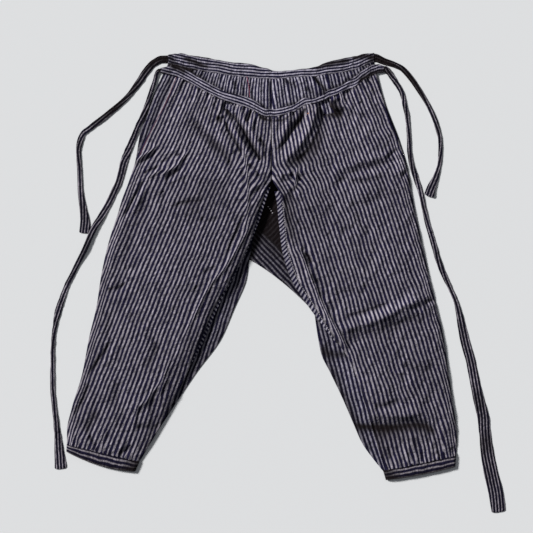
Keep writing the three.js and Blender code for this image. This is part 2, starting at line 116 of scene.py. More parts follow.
# A shadow lies along points, keeps the share dark of the light off and reaches wide to each side,
# or further on the right of its run and less far on the left where lean is above 0. It is a place
# that catches more light where dark is below 0
Shadow = namedtuple("Shadow", "points wide dark lean ends", defaults=(0.0, 0.2))
BACK_CREASES_RIGHT = [
    Crease([(-152, 444), (-145, 437), (-136, 436)], -2.0, 4),
    Crease([(-160, 440), (-154, 431), (-146, 426)], -1.4, 4),
    Crease([(-166, 450), (-162, 438), (-154, 424)], 2.2, 4.5),
    Crease([(-146, 446), (-140, 430), (-134, 412)], 2.0, 5),
    Crease([(-122, 402), (-112, 400), (-100, 402)], -1.6, 6),
    Crease([(-100, 440), (-98, 420), (-94, 404)], 2.2, 5),
    Crease([(-88, 424), (-86, 412), (-80, 400)], -2.4, 5),
    Crease([(-80, 436), (-72, 424), (-64, 410), (-58, 392)], 3.4, 5, 0.3, (0.05, 0.2)),
    Crease([(-74, 412), (-70, 400), (-62, 388)], -2.6, 5),
    Crease([(-46, 434), (-40, 415), (-38, 395)], 1.4, 5),
    Crease([(-24, 434), (-22, 410), (-26, 385)], 1.2, 4),
    Crease([(-260, 330), (-190, 318), (-120, 330)], 1.4, 12, 0.2, (0.3, 0.3)),
    Crease([(-330, 60), (-240, 40), (-150, 60)], 1.6, 12, -0.2, (0.3, 0.3)),
    Crease([(-66, 30), (-84, 0), (-100, -40), (-118, -84)], -1.8, 8, 0.0, (0.2, 0.3)),
    Crease([(-78, 20), (-98, -20), (-122, -70), (-140, -120)], 1.0, 7, 0.2, (0.2, 0.3)),
    Crease([(-100, -70), (-128, -124), (-158, -168), (-190, -216)], -1.6, 7, 0.0, (0.2, 0.3)),
    Crease([(-160, -130), (-184, -180), (-206, -226)], 1.6, 6, 0.2, (0.2, 0.3)),
    Crease([(-400, -200), (-330, -215), (-260, -200)], 1.5, 10, 0.2, (0.3, 0.3)),
]
BACK_CREASES_LEFT = [
    Crease([(8, 436), (10, 416), (6, 396)], 2.0, 5),
    Crease([(14, 434), (20, 424), (30, 418), (46, 415)], -2.4, 4.5, 0.0, (0.1, 0.2)),
    Crease([(20, 440), (34, 428), (52, 420)], 2.0, 5),
    Crease([(58, 410), (70, 402), (84, 406)], -2.2, 6),
    Crease([(50, 440), (56, 424), (58, 404)], 1.8, 5),
    Crease([(66, 440), (80, 420), (92, 402)], 3.0, 5, 0.4, (0.05, 0.15)),
    Crease([(76, 437), (87, 421), (106, 402)], -4.0, 4.5, -0.2, (0.03, 0.1)),
    Crease([(90, 440), (102, 424), (116, 408)], 2.6, 6, 0.0, (0.05, 0.2)),
    Crease([(132, 446), (138, 432), (140, 420)], 1.5, 4),
    Crease([(12, 402), (16, 394), (18, 386)], -1.4, 6),
    Crease([(260, 250), (180, 235), (90, 255)], 1.4, 12, 0.2, (0.3, 0.3)),
    Crease([(310, -20), (220, -40), (130, -20)], 1.6, 12, -0.2, (0.3, 0.3)),
    Crease([(82, -64), (92, -96), (112, -112), (128, -116)], -2.2, 7, 0.0, (0.15, 0.2)),
    Crease([(84, -116), (92, -128), (104, -138)], 2.4, 8, 0.0, (0.2, 0.3)),
    Crease([(94, -150), (120, -148), (148, -146)], -2.6, 8, 0.3, (0.1, 0.2)),
    Crease([(96, -166), (116, -206), (136, -248), (154, -284)], 2.0, 6, 0.3, (0.1, 0.2)),
    Crease([(160, -299), (190, -300), (230, -301)], -2.2, 8, 0.3, (0.3, 0.2)),
    Crease([(360, -260), (280, -278), (200, -262)], 1.5, 10, 0.2, (0.3, 0.3)),
]
BACK_SHADOWS_RIGHT = [
    Shadow([(-240, 463), (-218, 458), (-192, 451), (-168, 441)], 10, 0.94, 0.0, 0.25),
    Shadow([(-216, 457), (-191, 450), (-162, 432), (-132, 416), (-101, 400), (-69, 394), (-44, 383),
            (-25, 368), (-10, 366)], 3, 0.6, 0.0, 0.08),
    Shadow([(-70, 428), (-76, 418), (-73, 408), (-64, 400)], 2.6, 0.7, 0.0, 0.3),
    Shadow([(-146, 440), (-138, 428), (-130, 416)], 2.6, 0.55, 0.0, 0.3),
    Shadow([(-172, 450), (-166, 440), (-158, 430)], 2.6, 0.55, 0.0, 0.3),
    Shadow([(-104, 436), (-99, 430), (-94, 428)], 3, 0.5, 0.0, 0.3),
    Shadow([(-44, 150), (-56, 80), (-68, 20), (-84, -40), (-112, -104), (-156, -172), (-200, -230),
            (-250, -300)], 24, 0.42),
    Shadow([(-206, -236), (-240, -290), (-276, -350)], 14, 0.3),
    Shadow([(-48, 120), (-58, 60), (-84, 0), (-120, -52), (-148, -112), (-184, -190), (-222, -256)],
           7, 0.2),
    Shadow([(-216, 462), (-226, 436), (-240, 400), (-256, 360), (-276, 312), (-300, 262)], 9, 0.45),
    Shadow([(-226, 450), (-200, 446), (-170, 432), (-140, 416)], 6, 0.35),
    Shadow([(-130, 402), (-100, 392), (-64, 386), (-30, 370), (-14, 366)], 6, 0.35),
]
BACK_SHADOWS_LEFT = [
    Shadow([(-10, 366), (15, 374), (32, 377), (52, 390), (82, 393), (105, 406), (136, 419),
            (162, 437), (190, 456)], 3, 0.6, 0.0, 0.08),
    Shadow([(74, 438), (84, 424), (95, 412), (108, 400)], 3.4, 0.8, 0.0, 0.2),
    Shadow([(12, 434), (20, 424), (32, 417), (48, 409)], 3, 0.6, 0.0, 0.3),
    Shadow([(56, 412), (66, 403), (80, 402)], 3, 0.5, 0.0, 0.3),
    Shadow([(146, -297), (180, -301), (230, -303), (270, -303)], 8, 0.85, 0.35, 0.22),
    Shadow([(44, 130), (60, 60), (70, -10), (80, -70), (88, -110)], 12, 0.6),
    Shadow([(86, -128), (100, -146), (122, -150), (156, -152)], 9, 0.5),
    Shadow([(104, -166), (122, -204), (146, -256), (176, -318)], 9, 0.42),
    Shadow([(84, -70), (96, -140), (120, -210), (150, -280), (190, -350), (222, -396)], 20, 0.46),
    Shadow([(-14, 370), (30, 376), (80, 396), (130, 414), (190, 448)], 6, 0.35),
    Shadow([(176, 452), (190, 456), (206, 452)], 9, 0.5),
]


def gentler(before, after):
    """Slope at a table value between two steps: flat at a peak, nearer the gentler step."""
    same_way = before * after > 0
    return np.where(same_way, 2 * before * after / np.where(same_way, before + after, 1), 0)


def curve(start, part, leave, arrive, rise):
    """A cubic from start that rises by rise, with the slopes leave and arrive at its ends."""
    return start + part * (leave + part * (3 * rise - 2 * leave - arrive
                                           + part * (leave + arrive - 2 * rise)))


def eased(values, at):
    """A table column at positions counted in rows, on a curve never past its neighbours."""
    values = np.asarray(values, float)
    last = len(values) - 1
    start = np.clip(np.floor(at).astype(int), 0, last - 1)
    part = at - start
    if values.ndim > 1:
        part = part[..., None]
    a, b, c, d = (values[np.clip(start + step, 0, last)] for step in (-1, 0, 1, 2))
    return curve(b, part, gentler(b - a, c - b), gentler(c - b, d - c), c - b)


def column(rows, name):
    return [getattr(row, name) for row in rows]


def fade(share):
    """0 below 0, 1 above 1 and a soft step between."""
    share = np.clip(share, 0, 1)
    return share * share * (3 - 2 * share)


def bowed(share):
    """Nothing at both ends of a length and 1 midway."""
    return 4 * share * (1 - share)


def section_plan(sections, band, across, down):
    """Plan of a panel at shares across and section positions down, its top drawn to the band."""
    side, inseam = eased(column(sections, "side"), down), eased(column(sections, "inseam"), down)
    plan = side + (inseam - side) * across[..., None]
    (side_x, side_y), (inseam_x, inseam_y) = sections[0].side, sections[0].inseam
    waist_x = side_x + (inseam_x - side_x) * across
    waist_y = side_y + (inseam_y - side_y) * across
    stations = column(band, "x")
    station = np.interp(waist_x, stations, np.arange(len(band)))
    seam = eased(column(band, "low"), station) - SEAM_GAP + OVERLAP
    drawn = np.maximum(0, 1 - down / 2) ** 2
    plan[..., 1] += (seam - waist_y) * drawn
    return plan


def ripple(x, y, size, seed, waves=7):
    """Soft random unevenness of about the given size, mostly between -1 and 1."""
    draw = np.random.RandomState(seed)
    total = np.zeros_like(x)
    for _ in range(waves):
        turn, start = draw.uniform(0, 2 * np.pi, 2)
        length = size * draw.uniform(0.7, 1.6)
        total += np.sin((x * np.cos(turn) + y * np.sin(turn)) * 2 * np.pi / length + start)
    return total / waves ** 0.5 / 1.6


def crumpled(x, y, size, seed):
    """Random sharp little folds about the given size apart, up to 1 and mostly above -1."""
    return 1 - 2.6 * np.abs(ripple(x, y, size * 2, seed)) - 0.4 * np.abs(ripple(x, y, size, seed + 7))


def beside_line(points, x, y):
    """Distance to the right of a run of points, share of the way along it and its facing."""
    points = np.array(points, float)
    runs = np.diff(points, axis=0)
    lengths = np.hypot(runs[:, 0], runs[:, 1])
    starts = np.concatenate([[0], np.cumsum(lengths)])
    nearest = np.full(x.shape, np.inf)
    off, along, facing = np.zeros_like(x), np.zeros_like(x), np.zeros((2,) + x.shape)
    for start, run, length, before in zip(points, runs, lengths, starts):
        dx, dy = x - start[0], y - start[1]
        held = np.clip((dx * run[0] + dy * run[1]) / length, 0, length)
        away = np.hypot(dx - run[0] * held / length, dy - run[1] * held / length)
        side = np.sign(dx * run[1] - dy * run[0])
        closer = away < nearest
        nearest = np.where(closer, away, nearest)
        off = np.where(closer, away * side, off)
        along = np.where(closer, before + held, along)
        facing[0] = np.where(closer, run[1] / length, facing[0])
        facing[1] = np.where(closer, -run[0] / length, facing[1])
    return off, along / starts[-1], facing


CREASE_PULL = 0.4  # cloth that each side of a crease gives to it, for its height and width


def creased(creases, x, y):
    """All creases together: height, and the cloth that they take up in x and y."""
    height, taken = np.zeros_like(x), np.zeros((2,) + x.shape)
    for crease in creases:
        off, share, facing = beside_line(crease.points, x, y)
        strength = fade(share / crease.fades[0]) * fade((1 - share) / crease.fades[1])
        flank = off / (crease.wide * (1 + crease.lean * np.sign(off)))
        height += crease.high * np.exp(-flank ** 2) * strength
        spare = (CREASE_PULL * crease.high ** 2 / crease.wide + crease.closed) * strength
        taken += facing * spare * np.tanh(1.4 * flank) * np.exp(-(flank / 3) ** 2)
    return height, taken


def shaded(shadows, x, y):
    """Share of the light kept from the cloth in the deep places between and under its folds."""
    light = np.ones_like(x)
    for shadow in shadows:
        off, share, _ = beside_line(shadow.points, x, y)
        ends = fade(share / shadow.ends) * fade((1 - share) / shadow.ends)
        reach = off / (shadow.wide * (1 + shadow.lean * np.sign(off)) * (0.4 + 0.6 * ends))
        light *= 1 - shadow.dark * np.exp(-reach ** 2) * ends
    return 1 - light


def gathers(along_seam, from_seam, length, seed, spacing, high, reach):
    """Puckers that leave a seam: uneven in place, height and reach, with their stripe shift."""
    draw = np.random.RandomState(seed)
    height, shift = np.zeros_like(along_seam), np.zeros_like(along_seam)
    place = draw.uniform(0.2, 0.8) * spacing
    while place < length:
        wide = spacing * draw.uniform(0.22, 0.42)
        far = reach * draw.uniform(0.35, 1.5)
        drift = draw.uniform(-0.3, 0.3)
        tall = high * draw.uniform(0.3, 1.25)
        flank = (along_seam - place - drift * from_seam) / (wide * (1 + 0.5 * from_seam / reach))
        bell = np.exp(-flank ** 2) * np.exp(-from_seam / far)
        height += tall * bell
        shift += draw.uniform(-0.2, 0.9) * np.sign(high) * flank * bell
        place += spacing * draw.uniform(0.6, 1.5)
    return height, shift


def stripe_counts(sections, plan_of, across, down):
    """Stripes from the middle of a panel's waist, near to its slants and pitch, and their lean."""
    shares = np.linspace(0, 1, 13)
    rows = np.linspace(0, len(sections) - 1, 2 * len(sections) - 1)
    node_across, node_down = np.meshgrid(shares, rows)
    plan = plan_of(node_across, node_down)
    slant_rows = eased(column(sections, "slants"), node_down)
    places = np.linspace(0, 1, slant_rows.shape[-1])
    slant = np.array([np.interp(a, places, s) for a, s in
                      zip(node_across.ravel(), slant_rows.reshape(-1, len(places)))])
    slant = np.radians(slant).reshape(node_across.shape)
    pitch = eased(column(sections, "pitch"), node_down)
    number = np.arange(node_across.size).reshape(node_across.shape)
    ties, steps = [], []
    for here, there in ((np.s_[:, :-1], np.s_[:, 1:]), (np.s_[:-1, :], np.s_[1:, :])):
        move = plan[there] - plan[here]
        lean = (slant[here] + slant[there]) / 2
        wide = (pitch[here] + pitch[there]) / 2
        steps.append(((move[..., 0] * np.cos(lean) - move[..., 1] * np.sin(lean)) / wide).ravel())
        ties.append(np.stack([number[here].ravel(), number[there].ravel()], axis=1))
    ties, steps = np.concatenate(ties), np.concatenate(steps)
    system = np.zeros((len(ties) + 1, number.size))
    system[np.arange(len(ties)), ties[:, 0]] = -1
    system[np.arange(len(ties)), ties[:, 1]] = 1
    system[-1, number[0, len(shares) // 2]] = 1
    counted = np.linalg.lstsq(system, np.append(steps, 0), rcond=None)[0].reshape(number.shape)
    by_row = eased(counted, down / (rows[1] - rows[0]))
    place = across * (len(shares) - 1)
    start = np.clip(np.floor(place).astype(int), 0, len(shares) - 2)
    near = (np.clip(start + step, 0, len(shares) - 1)[..., None] for step in (-1, 0, 1, 2))
    a, b, c, d = (np.take_along_axis(by_row, at, -1)[..., 0] for at in near)
    counted = curve(b, place - start, (c - a) / 2, (d - b) / 2, c - b)
    slants = eased(column(sections, "slants"), down)
    share = np.clip(across, 0, 1) * (slants.shape[-1] - 1)
    first = np.minimum(share.astype(int), slants.shape[-1] - 2)
    rows = np.arange(len(share))
    lean = slants[rows, first] + (slants[rows, first + 1] - slants[rows, first]) * (share - first)
    return counted, np.radians(lean)


def stripe_shift(taken, lean):
    """Stripes that creases take up, where the stripes lean by the given angles."""
    return (taken[0] * np.cos(lean) - taken[1] * np.sin(lean)) / STRIPE


def lay_cloth(name, cells, place, closed=False):
    """A grid of cloth carried onto place(across, down), which gives points, thread and shade.

    thread is the place on the uncut cloth across and along its stripes, all in millimetres."""
    mesh = bpy.data.meshes.new(name)
    grid = bmesh.new()
    bmesh.ops.create_grid(grid, x_segments=cells[0], y_segments=cells[1], size=0.5)
    grid.to_mesh(mesh)
    grid.free()
    flat = np.empty(len(mesh.vertices) * 3)
    mesh.vertices.foreach_get("co", flat)
    flat = flat.reshape(-1, 3)
    points, thread, shade = place(flat[:, 0] + 0.5, 0.5 - flat[:, 1])
    mesh.vertices.foreach_set("co", (points * MM).ravel())
    corners = np.empty(len(mesh.loops), dtype=np.int32)
    mesh.loops.foreach_get("vertex_index", corners)
    mesh.uv_layers.new(name="cloth").data.foreach_set("uv", (thread[corners] * MM).ravel())
    tone = mesh.attributes.new("fold_shade", "FLOAT", "POINT")
    tone.data.foreach_set("value", shade.astype(np.float32))
    mesh.update()
    if closed:
        weld = bmesh.new()
        weld.from_mesh(mesh)
        bmesh.ops.remove_doubles(weld, verts=weld.verts, dist=1e-6)
        bmesh.ops.recalc_face_normals(weld, faces=weld.faces)
        weld.to_mesh(mesh)
        weld.free()
    elif sum(face.normal.z for face in mesh.polygons) < 0:
        mesh.flip_normals()
    mesh.shade_smooth()
    piece = bpy.data.objects.new(name, mesh)
    bpy.context.scene.collection.objects.link(piece)
    return piece


def thicken(piece, thickness):
    """Gives a sheet its thickness below the face that shows."""
    wall = piece.modifiers.new("thickness", "SOLIDIFY")
    wall.thickness = thickness * MM
    wall.offset = -1
    wall.use_rim = True


BACK_STEP = 55  # mm counted for a section in what leaves the waist, though the first is 82 long
LEG_WIDE = 260  # about how wide a back panel is


def back_panel(name, sections, creases, shadows, seed):
    last = len(sections) - 1

    def plan_of(across, down):
        return section_plan(sections, BACK_BAND, across, down)

    def place(across, down):
        down = down * last
        plan = plan_of(across, down)
        x, y = plan[:, 0], plan[:, 1]
        wide = abs(sections[0].inseam[0] - sections[0].side[0])
        below = np.maximum(0, down) * BACK_STEP
        pucker, pucker_shift = gathers(across * wide, below, wide, seed, spacing=10, high=2.2,
                                       reach=34)
        fold, taken = creased(creases, x, y)
        inside = fade(across / 0.04) * fade((1 - across) / 0.04)
        hem = fade((last - down) / 0.4)
        swell = (0.35 * (1 + ripple(x, y, 70, seed + 1)) + 0.15 * (1 + ripple(x, y, 24, seed + 2))
                 + 0.12 * crumpled(x, y, 20, seed + 5))
        mouth = fade((150 - np.abs(x + 8)) / 50) * fade((y - 345) / 25)
        relief = (pucker + fold + swell + 1.6 * mouth * fade(below / 12)) * inside * hem
        z = CLOTH + np.clip(relief, 0, 2.4 + 2.8 * mouth * fade(below / 10))
        count, lean = stripe_counts(sections, plan_of, across, down)
        count += pucker_shift + stripe_shift(taken, lean) + 0.12 * ripple(x, y, 60, seed + 3)
        thread = np.stack([count * STRIPE, -y], axis=1)
        # seam here is painted shadow, which the back band casts on the cloth just below it
        seam = 1 - (1 - 0.6 * (1 - fade(below / 4))) * (1 - 0.3 * (1 - fade(below / 10)))
        # painted shade along the outer 9 mm of the side edge, where the cloth rolls under
        side_edge_shade = 0.5 * (1 - fade(across * LEG_WIDE / 9))
        # painted shade in the hollows of creases and under the painted shadows
        light = (1 - shaded(shadows, x, y)) * np.exp(-0.12 * np.maximum(0, -fold)) * (1 - seam)
        # the mouth between the bands is painted 18 % lighter
        shade = 1 - light * (1 - side_edge_shade) * (1 + 0.18 * mouth)
        return np.stack([x, y, z], axis=1), thread, shade

    return lay_cloth(name, (150, 230), place)


DEEP_BROWN = (0.011, 0.0062, 0.0072)  # what the cloth shows where hardly any light reaches it


def striped_weave():
    """Node group of the cloth: navy and grey stripes woven of uneven cotton yarn, under painted shade."""
    group = bpy.data.node_groups.new("striped_weave", "ShaderNodeTree")
    sockets = group.interface
    for name, kind in (("Thread", "NodeSocketVector"), ("Pitch", "NodeSocketFloat"),
                       ("Grey Share", "NodeSocketFloat"), ("Navy", "NodeSocketColor"),
                       ("Grey", "NodeSocketColor"), ("Shade", "NodeSocketFloat")):
        sockets.new_socket(name, in_out="INPUT", socket_type=kind)
    sockets.new_socket("Color", in_out="OUTPUT", socket_type="NodeSocketColor")
    sockets.new_socket("Height", in_out="OUTPUT", socket_type="NodeSocketFloat")
    nodes, links = group.nodes, group.links
    given, result = nodes.new("NodeGroupInput"), nodes.new("NodeGroupOutput")

    def maths(operation, first, second, third=None):
        node = nodes.new("ShaderNodeMath")
        node.operation = operation
        for socket, value in zip(node.inputs, (first, second, third)):
            if isinstance(value, (int, float)):
                socket.default_value = value
            elif value is not None:
                links.new(value, socket)
        return node.outputs[0]

    def noise(vector, scale, detail=2.0):
        node = nodes.new("ShaderNodeTexNoise")
        node.inputs["Scale"].default_value = scale
        node.inputs["Detail"].default_value = detail
        links.new(vector, node.inputs["Vector"])
        return node.outputs["Fac"]

    def stretched(scale):
        node = nodes.new("ShaderNodeMapping")
        node.inputs["Scale"].default_value = scale
        links.new(given.outputs["Thread"], node.inputs["Vector"])
        return node.outputs["Vector"]

    apart = nodes.new("ShaderNodeSeparateXYZ")
    links.new(given.outputs["Thread"], apart.inputs[0])
    across, along = apart.outputs["X"], apart.outputs["Y"]
    wander = maths("MULTIPLY_ADD", noise(stretched((1, 0.5, 1)), 230), 0.0024, -0.0012)
    count = maths("DIVIDE", maths("ADD", across, wander), given.outputs["Pitch"])
    wave = maths("MULTIPLY", maths("PINGPONG", count, 0.5), 2.0)
    edge = maths("SUBTRACT", 1.0, given.outputs["Grey Share"])
    stripe = nodes.new("ShaderNodeMapRange")
    stripe.interpolation_type = "SMOOTHSTEP"
    links.new(wave, stripe.inputs["Value"])
    links.new(maths("SUBTRACT", edge, 0.16), stripe.inputs["From Min"])
    links.new(maths("ADD", edge, 0.16), stripe.inputs["From Max"])

    slub = noise(stretched((1.0, 0.45, 1)), 240, 3.0)
    fleck = noise(stretched((1, 1, 1)), 900, 1.0)
    grey_tone = maths("MULTIPLY_ADD", slub, 1.9, 0.05)
    grey_tone = maths("MULTIPLY_ADD", fleck, 0.5, maths("SUBTRACT", grey_tone, 0.25))
    navy_tone = maths("MULTIPLY_ADD", slub, 1.6, 0.2)
    worn = maths("MULTIPLY_ADD", noise(stretched((0.75, 1.3, 1)), 26, 2.0), 0.38, 0.81)
    faded = maths("MULTIPLY_ADD", noise(stretched((0.8, 1.2, 1)), 9, 1.0), 0.3, 0.85)
    worn = maths("MULTIPLY", worn, faded)

    def toned(colour, tone):
        node = nodes.new("ShaderNodeVectorMath")
        node.operation = "SCALE"
        links.new(colour, node.inputs[0])
        links.new(tone, node.inputs["Scale"])
        return node.outputs[0]

    mixed = nodes.new("ShaderNodeMix")
    mixed.data_type = "RGBA"
    links.new(stripe.outputs["Result"], mixed.inputs["Factor"])
    links.new(toned(given.outputs["Navy"], navy_tone), mixed.inputs["A"])
    links.new(toned(given.outputs["Grey"], grey_tone), mixed.inputs["B"])
    # painted shade from the Shade input, mixed towards deep brown where it is deepest
    light = maths("MULTIPLY", maths("SUBTRACT", 1.0, given.outputs["Shade"]), worn)
    depth = nodes.new("ShaderNodeMix")
    depth.data_type = "RGBA"
    depth.inputs["B"].default_value = (*DEEP_BROWN, 1)
    deep = maths("POWER", maths("MAXIMUM", given.outputs["Shade"], 0.0), 3.0)
    links.new(maths("MULTIPLY", deep, 0.6), depth.inputs["Factor"])
    links.new(toned(mixed.outputs["Result"], light), depth.inputs["A"])
    links.new(depth.outputs["Result"], result.inputs["Color"])

    turn = 2 * math.pi / 0.0011
    warp = maths("SINE", maths("MULTIPLY", across, turn), 0)
    weft = maths("SINE", maths("MULTIPLY", along, turn), 0)
    weave = maths("MULTIPLY", maths("MULTIPLY", warp, weft), 0.00006)
    crumple = maths("MULTIPLY", noise(stretched((1, 1, 1)), 120, 3.0), 0.0028)
    shrunk = maths("MULTIPLY_ADD", noise(stretched((0.35, 1, 1)), 200, 2.0), 0.002, crumple)
    links.new(maths("ADD", weave, shrunk), result.inputs["Height"])
    return group


WEAVE = striped_weave()


def cotton(name, navy, grey, grey_share=0.4):
    """Material of one kind of piece: the weave, soft and matte, with a little bloom of fibres."""
    material = bpy.data.materials.new(name)
    material.use_nodes = True
    nodes, links = material.node_tree.nodes, material.node_tree.links
    shader = nodes["Principled BSDF"]
    shader.inputs["Roughness"].default_value = 0.88
    shader.inputs["Specular IOR Level"].default_value = 0.06
    shader.inputs["Sheen Weight"].default_value = 0.02
    shader.inputs["Sheen Roughness"].default_value = 0.6
    weave = nodes.new("ShaderNodeGroup")
    weave.node_tree = WEAVE
    place = nodes.new("ShaderNodeUVMap")
    place.uv_map = "cloth"
    shade = nodes.new("ShaderNodeAttribute")
    shade.attribute_name = "fold_shade"
    bump = nodes.new("ShaderNodeBump")
    bump.inputs["Strength"].default_value = 1.0
    bump.inputs["Distance"].default_value = 1.0
    weave.inputs["Pitch"].default_value = STRIPE * MM
    weave.inputs["Grey Share"].default_value = grey_share
    weave.inputs["Navy"].default_value = (*navy, 1)
    weave.inputs["Grey"].default_value = (*grey, 1)
    links.new(place.outputs["UV"], weave.inputs["Thread"])
    links.new(shade.outputs["Fac"], weave.inputs["Shade"])
    links.new(weave.outputs["Color"], shader.inputs["Base Color"])
    links.new(weave.outputs["Height"], bump.inputs["Height"])
    links.new(bump.outputs["Normal"], shader.inputs["Normal"])
    return material


NAVY = (0.0082, 0.0068, 0.0275)
WARM_GREY = (0.278, 0.258, 0.298)


def dress(piece, material, node, slot, flat, area, rests_on, with_pieces=()):
    """Gives a finished piece its cloth, attaches it to the root body and hides the model part it stands
    for.
    """
    piece.data.materials.append(material)
    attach(piece, "root")
    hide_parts(node)


back_cotton = cotton("back_cotton", NAVY, (0.28, 0.266, 0.322))
for side, sections, creases, shadows, seed in (
        ("right", BACK_RIGHT, BACK_CREASES_RIGHT, BACK_SHADOWS_RIGHT, 11),
        ("left", BACK_LEFT, BACK_CREASES_LEFT, BACK_SHADOWS_LEFT, 23)):
    back = back_panel(f"back_leg_cloth_{side}", sections, creases, shadows, seed)
    thicken(back, SHEET)
    dress(back, back_cotton, f"back_leg_{side}", "back_cloth", (0.31, 0.87), 0.22, ["table_top"])

# ---------------------------------------------------------------------------------------------
# Seat gusset. One piece of the same cotton set in between the back legs on the cross. Its lower
# stripes run nearly parallel to its lower edge and its upper ones lean the other way. It lies in
# the shade between the legs.

GUSSET_ROWS = (2, 6)
GUSSET_BOW = 9
GUSSET_SLANT = -43.5
GUSSET_TURN = 76  # where its upper part begins, which has its stripes the other way
GUSSET_SHADOWS = [
    Shadow([(-6, 200), (-20, 150), (-40, 110), (-56, 70), (-70, 20)], 10, 0.62),
    Shadow([(6, 140), (12, 90), (22, 40), (44, -6), (66, -50)], 7, 0.7),
]


def seat_gusset():
    first, last = GUSSET_ROWS

    def place(across, down):
        position = first + down * (last - first)
        right = eased(column(BACK_RIGHT, "inseam"), position) + (-OVERLAP, 0)
        left = eased(column(BACK_LEFT, "inseam"), position) + (OVERLAP, 0)
        plan = right + (left - right) * across[:, None]
        x = plan[:, 0]
        y = plan[:, 1] + GUSSET_BOW * bowed(across) * down ** 3
        slack = ripple(x, y, 45, 31)
        z = CLOTH - 0.4 + 0.5 * (1 + slack) * bowed(across) + 0.8 * fade((down - 0.86) / 0.14)
        under = y + 0.95 * x
        lean = np.radians(np.where(under > GUSSET_TURN, -GUSSET_SLANT, GUSSET_SLANT))
        count = (x * np.cos(lean) - y * np.sin(lean)) / STRIPE + 0.1 * slack
        along = -(x * np.sin(lean) + y * np.cos(lean))
        # painted shade over the whole gusset, deeper towards its top, with painted shadows along its
        # sides under the front panels
        deep = 0.58 + 0.14 * fade((under - 30) / 36) + 0.22 * fade((under - 66) / 14)
        deep = 1 - (1 - deep) * (1 - shaded(GUSSET_SHADOWS, x, y))
        return np.stack([x, y, z], axis=1), np.stack([count * STRIPE, along], axis=1), deep

    return lay_cloth("seat_gusset_cloth", (50, 90), place)


gusset = seat_gusset()
thicken(gusset, SHEET)
dress(gusset, back_cotton, "seat_gusset", "back_cloth", (0.125, 0.34), 0.0225, ["table_top"])

# ---------------------------------------------------------------------------------------------
# Front leg panels. Two panels of the same cotton, sewn together down the centre front and lying
# over the back as a low hollow, open at the sides near the waist. Their meshes still cross those
# of the back panels inside the waist and along the outer edges.

FRONT_FLOOR = 1.5
# rise is the height of the hollow midway across, and lift that of the inseam edge
FrontSection = namedtuple("FrontSection", "side inseam rise lift slants pitch")
FRONT_RIGHT = [
    FrontSection((-216, 435), (-12.7, 349), 3, 7, (25, 21, 28, 14, 22, 5, -1), 7.5),
    FrontSection((-235, 388), (-12.7, 307), 5, 8, (26, 23, 23, 17, 12, 7, 2), 7.6),
    FrontSection((-265, 330), (-12.7, 265), 7, 9, (21, 25, 24, 18, 14, 6, -1), 7.8),
    FrontSection((-296, 265), (-12.7, 223), 8, 11, (33, 40, 25, 25, 25, 28, 22), 8.0),
    FrontSection((-313, 216), (-28, 186), 9, 11, (21, 24, 23, 23, 22, 27, 31), 8.2),
    FrontSection((-336, 149), (-44, 134), 10, 10, (23, 24, 23, 20, 22, 24, 21), 8.4),
    FrontSection((-358, 79), (-62, 78), 11, 8, (22, 24, 25, 23, 23, 22, 21), 8.5),
    FrontSection((-372, 15), (-94, 14), 12, 7, (22, 23, 24, 24, 23, 21, 21), 8.5),
    FrontSection((-382, -50), (-134, -52), 12, 7, (20, 22, 23, 23, 21, 20, 21), 8.7),
    FrontSection((-397, -113), (-162, -120), 12, 6, (21, 22, 21, 21, 21, 20, 16), 8.7),
    FrontSection((-412, -191), (-195, -198), 11, 3, (22, 23, 22, 22, 21, 18, 15), 8.7),
    FrontSection((-433, -260), (-231, -271), 9, 2, (22, 23, 23, 22, 21, 17, 16), 8.7),
    FrontSection((-444, -309), (-265, -332), 6.5, 1.5, (20, 24, 26, 26, 23, 18, 16), 8.5),
    FrontSection((-444, -339), (-293, -375), 5, 1, (13, 17, 19, 21, 22, 21, 20), 8.2),
]
FRONT_LEFT = [
    FrontSection((208, 438), (-12.4, 349), 3, 7, (-22, -23, -17, -14, -15, -4, 0), 7.5),
    FrontSection((220, 393), (-12.4, 307), 5, 8, (-22, -24, -24, -16, -14, -6, 3), 7.7),
    FrontSection((237, 340), (-12.4, 265), 7, 9, (-26, -22, -20, -18, -18, -8, -2), 7.9),
    FrontSection((255, 298), (-12.4, 223), 8, 11, (-26, -22, -20, -19, -19, -22, -40), 8.0),
    FrontSection((273, 242), (9, 178), 9, 11, (-24, -25, -22, -21, -20, -24, -26), 8.1),
    FrontSection((286, 166), (16, 122), 10, 10, (-18, -19, -18, -20, -21, -20, -14), 8.2),
    FrontSection((299, 105), (22, 72), 11, 9, (-18, -19, -19, -18, -19, -19, -19), 8.3),
    FrontSection((317, 21), (44, 6), 12, 8, (-19, -20, -19, -19, -17, -16, -18), 8.4),
    FrontSection((332, -42), (74, -42), 12, 7, (-18, -19, -22, -18, -15, -15, -17), 8.7),
    FrontSection((346, -101), (110, -102), 12, 6, (-18, -18, -17, -16, -17, -18, -15), 8.9),
    FrontSection((358, -178), (155, -172), 11, 4, (-16, -17, -18, -19, -21, -20, -11), 8.9),
    FrontSection((370, -262), (182, -250), 9, 2, (-17, -18, -20, -22, -19, -16, -11), 8.7),
    FrontSection((377, -317), (204, -325), 6.5, 1.5, (-15, -15, -14, -15, -14, -14, -16), 8.7),
    FrontSection((375, -363), (225, -394), 5, 1, (-12, -13, -13, -14, -15, -16, -17), 8.5),
]
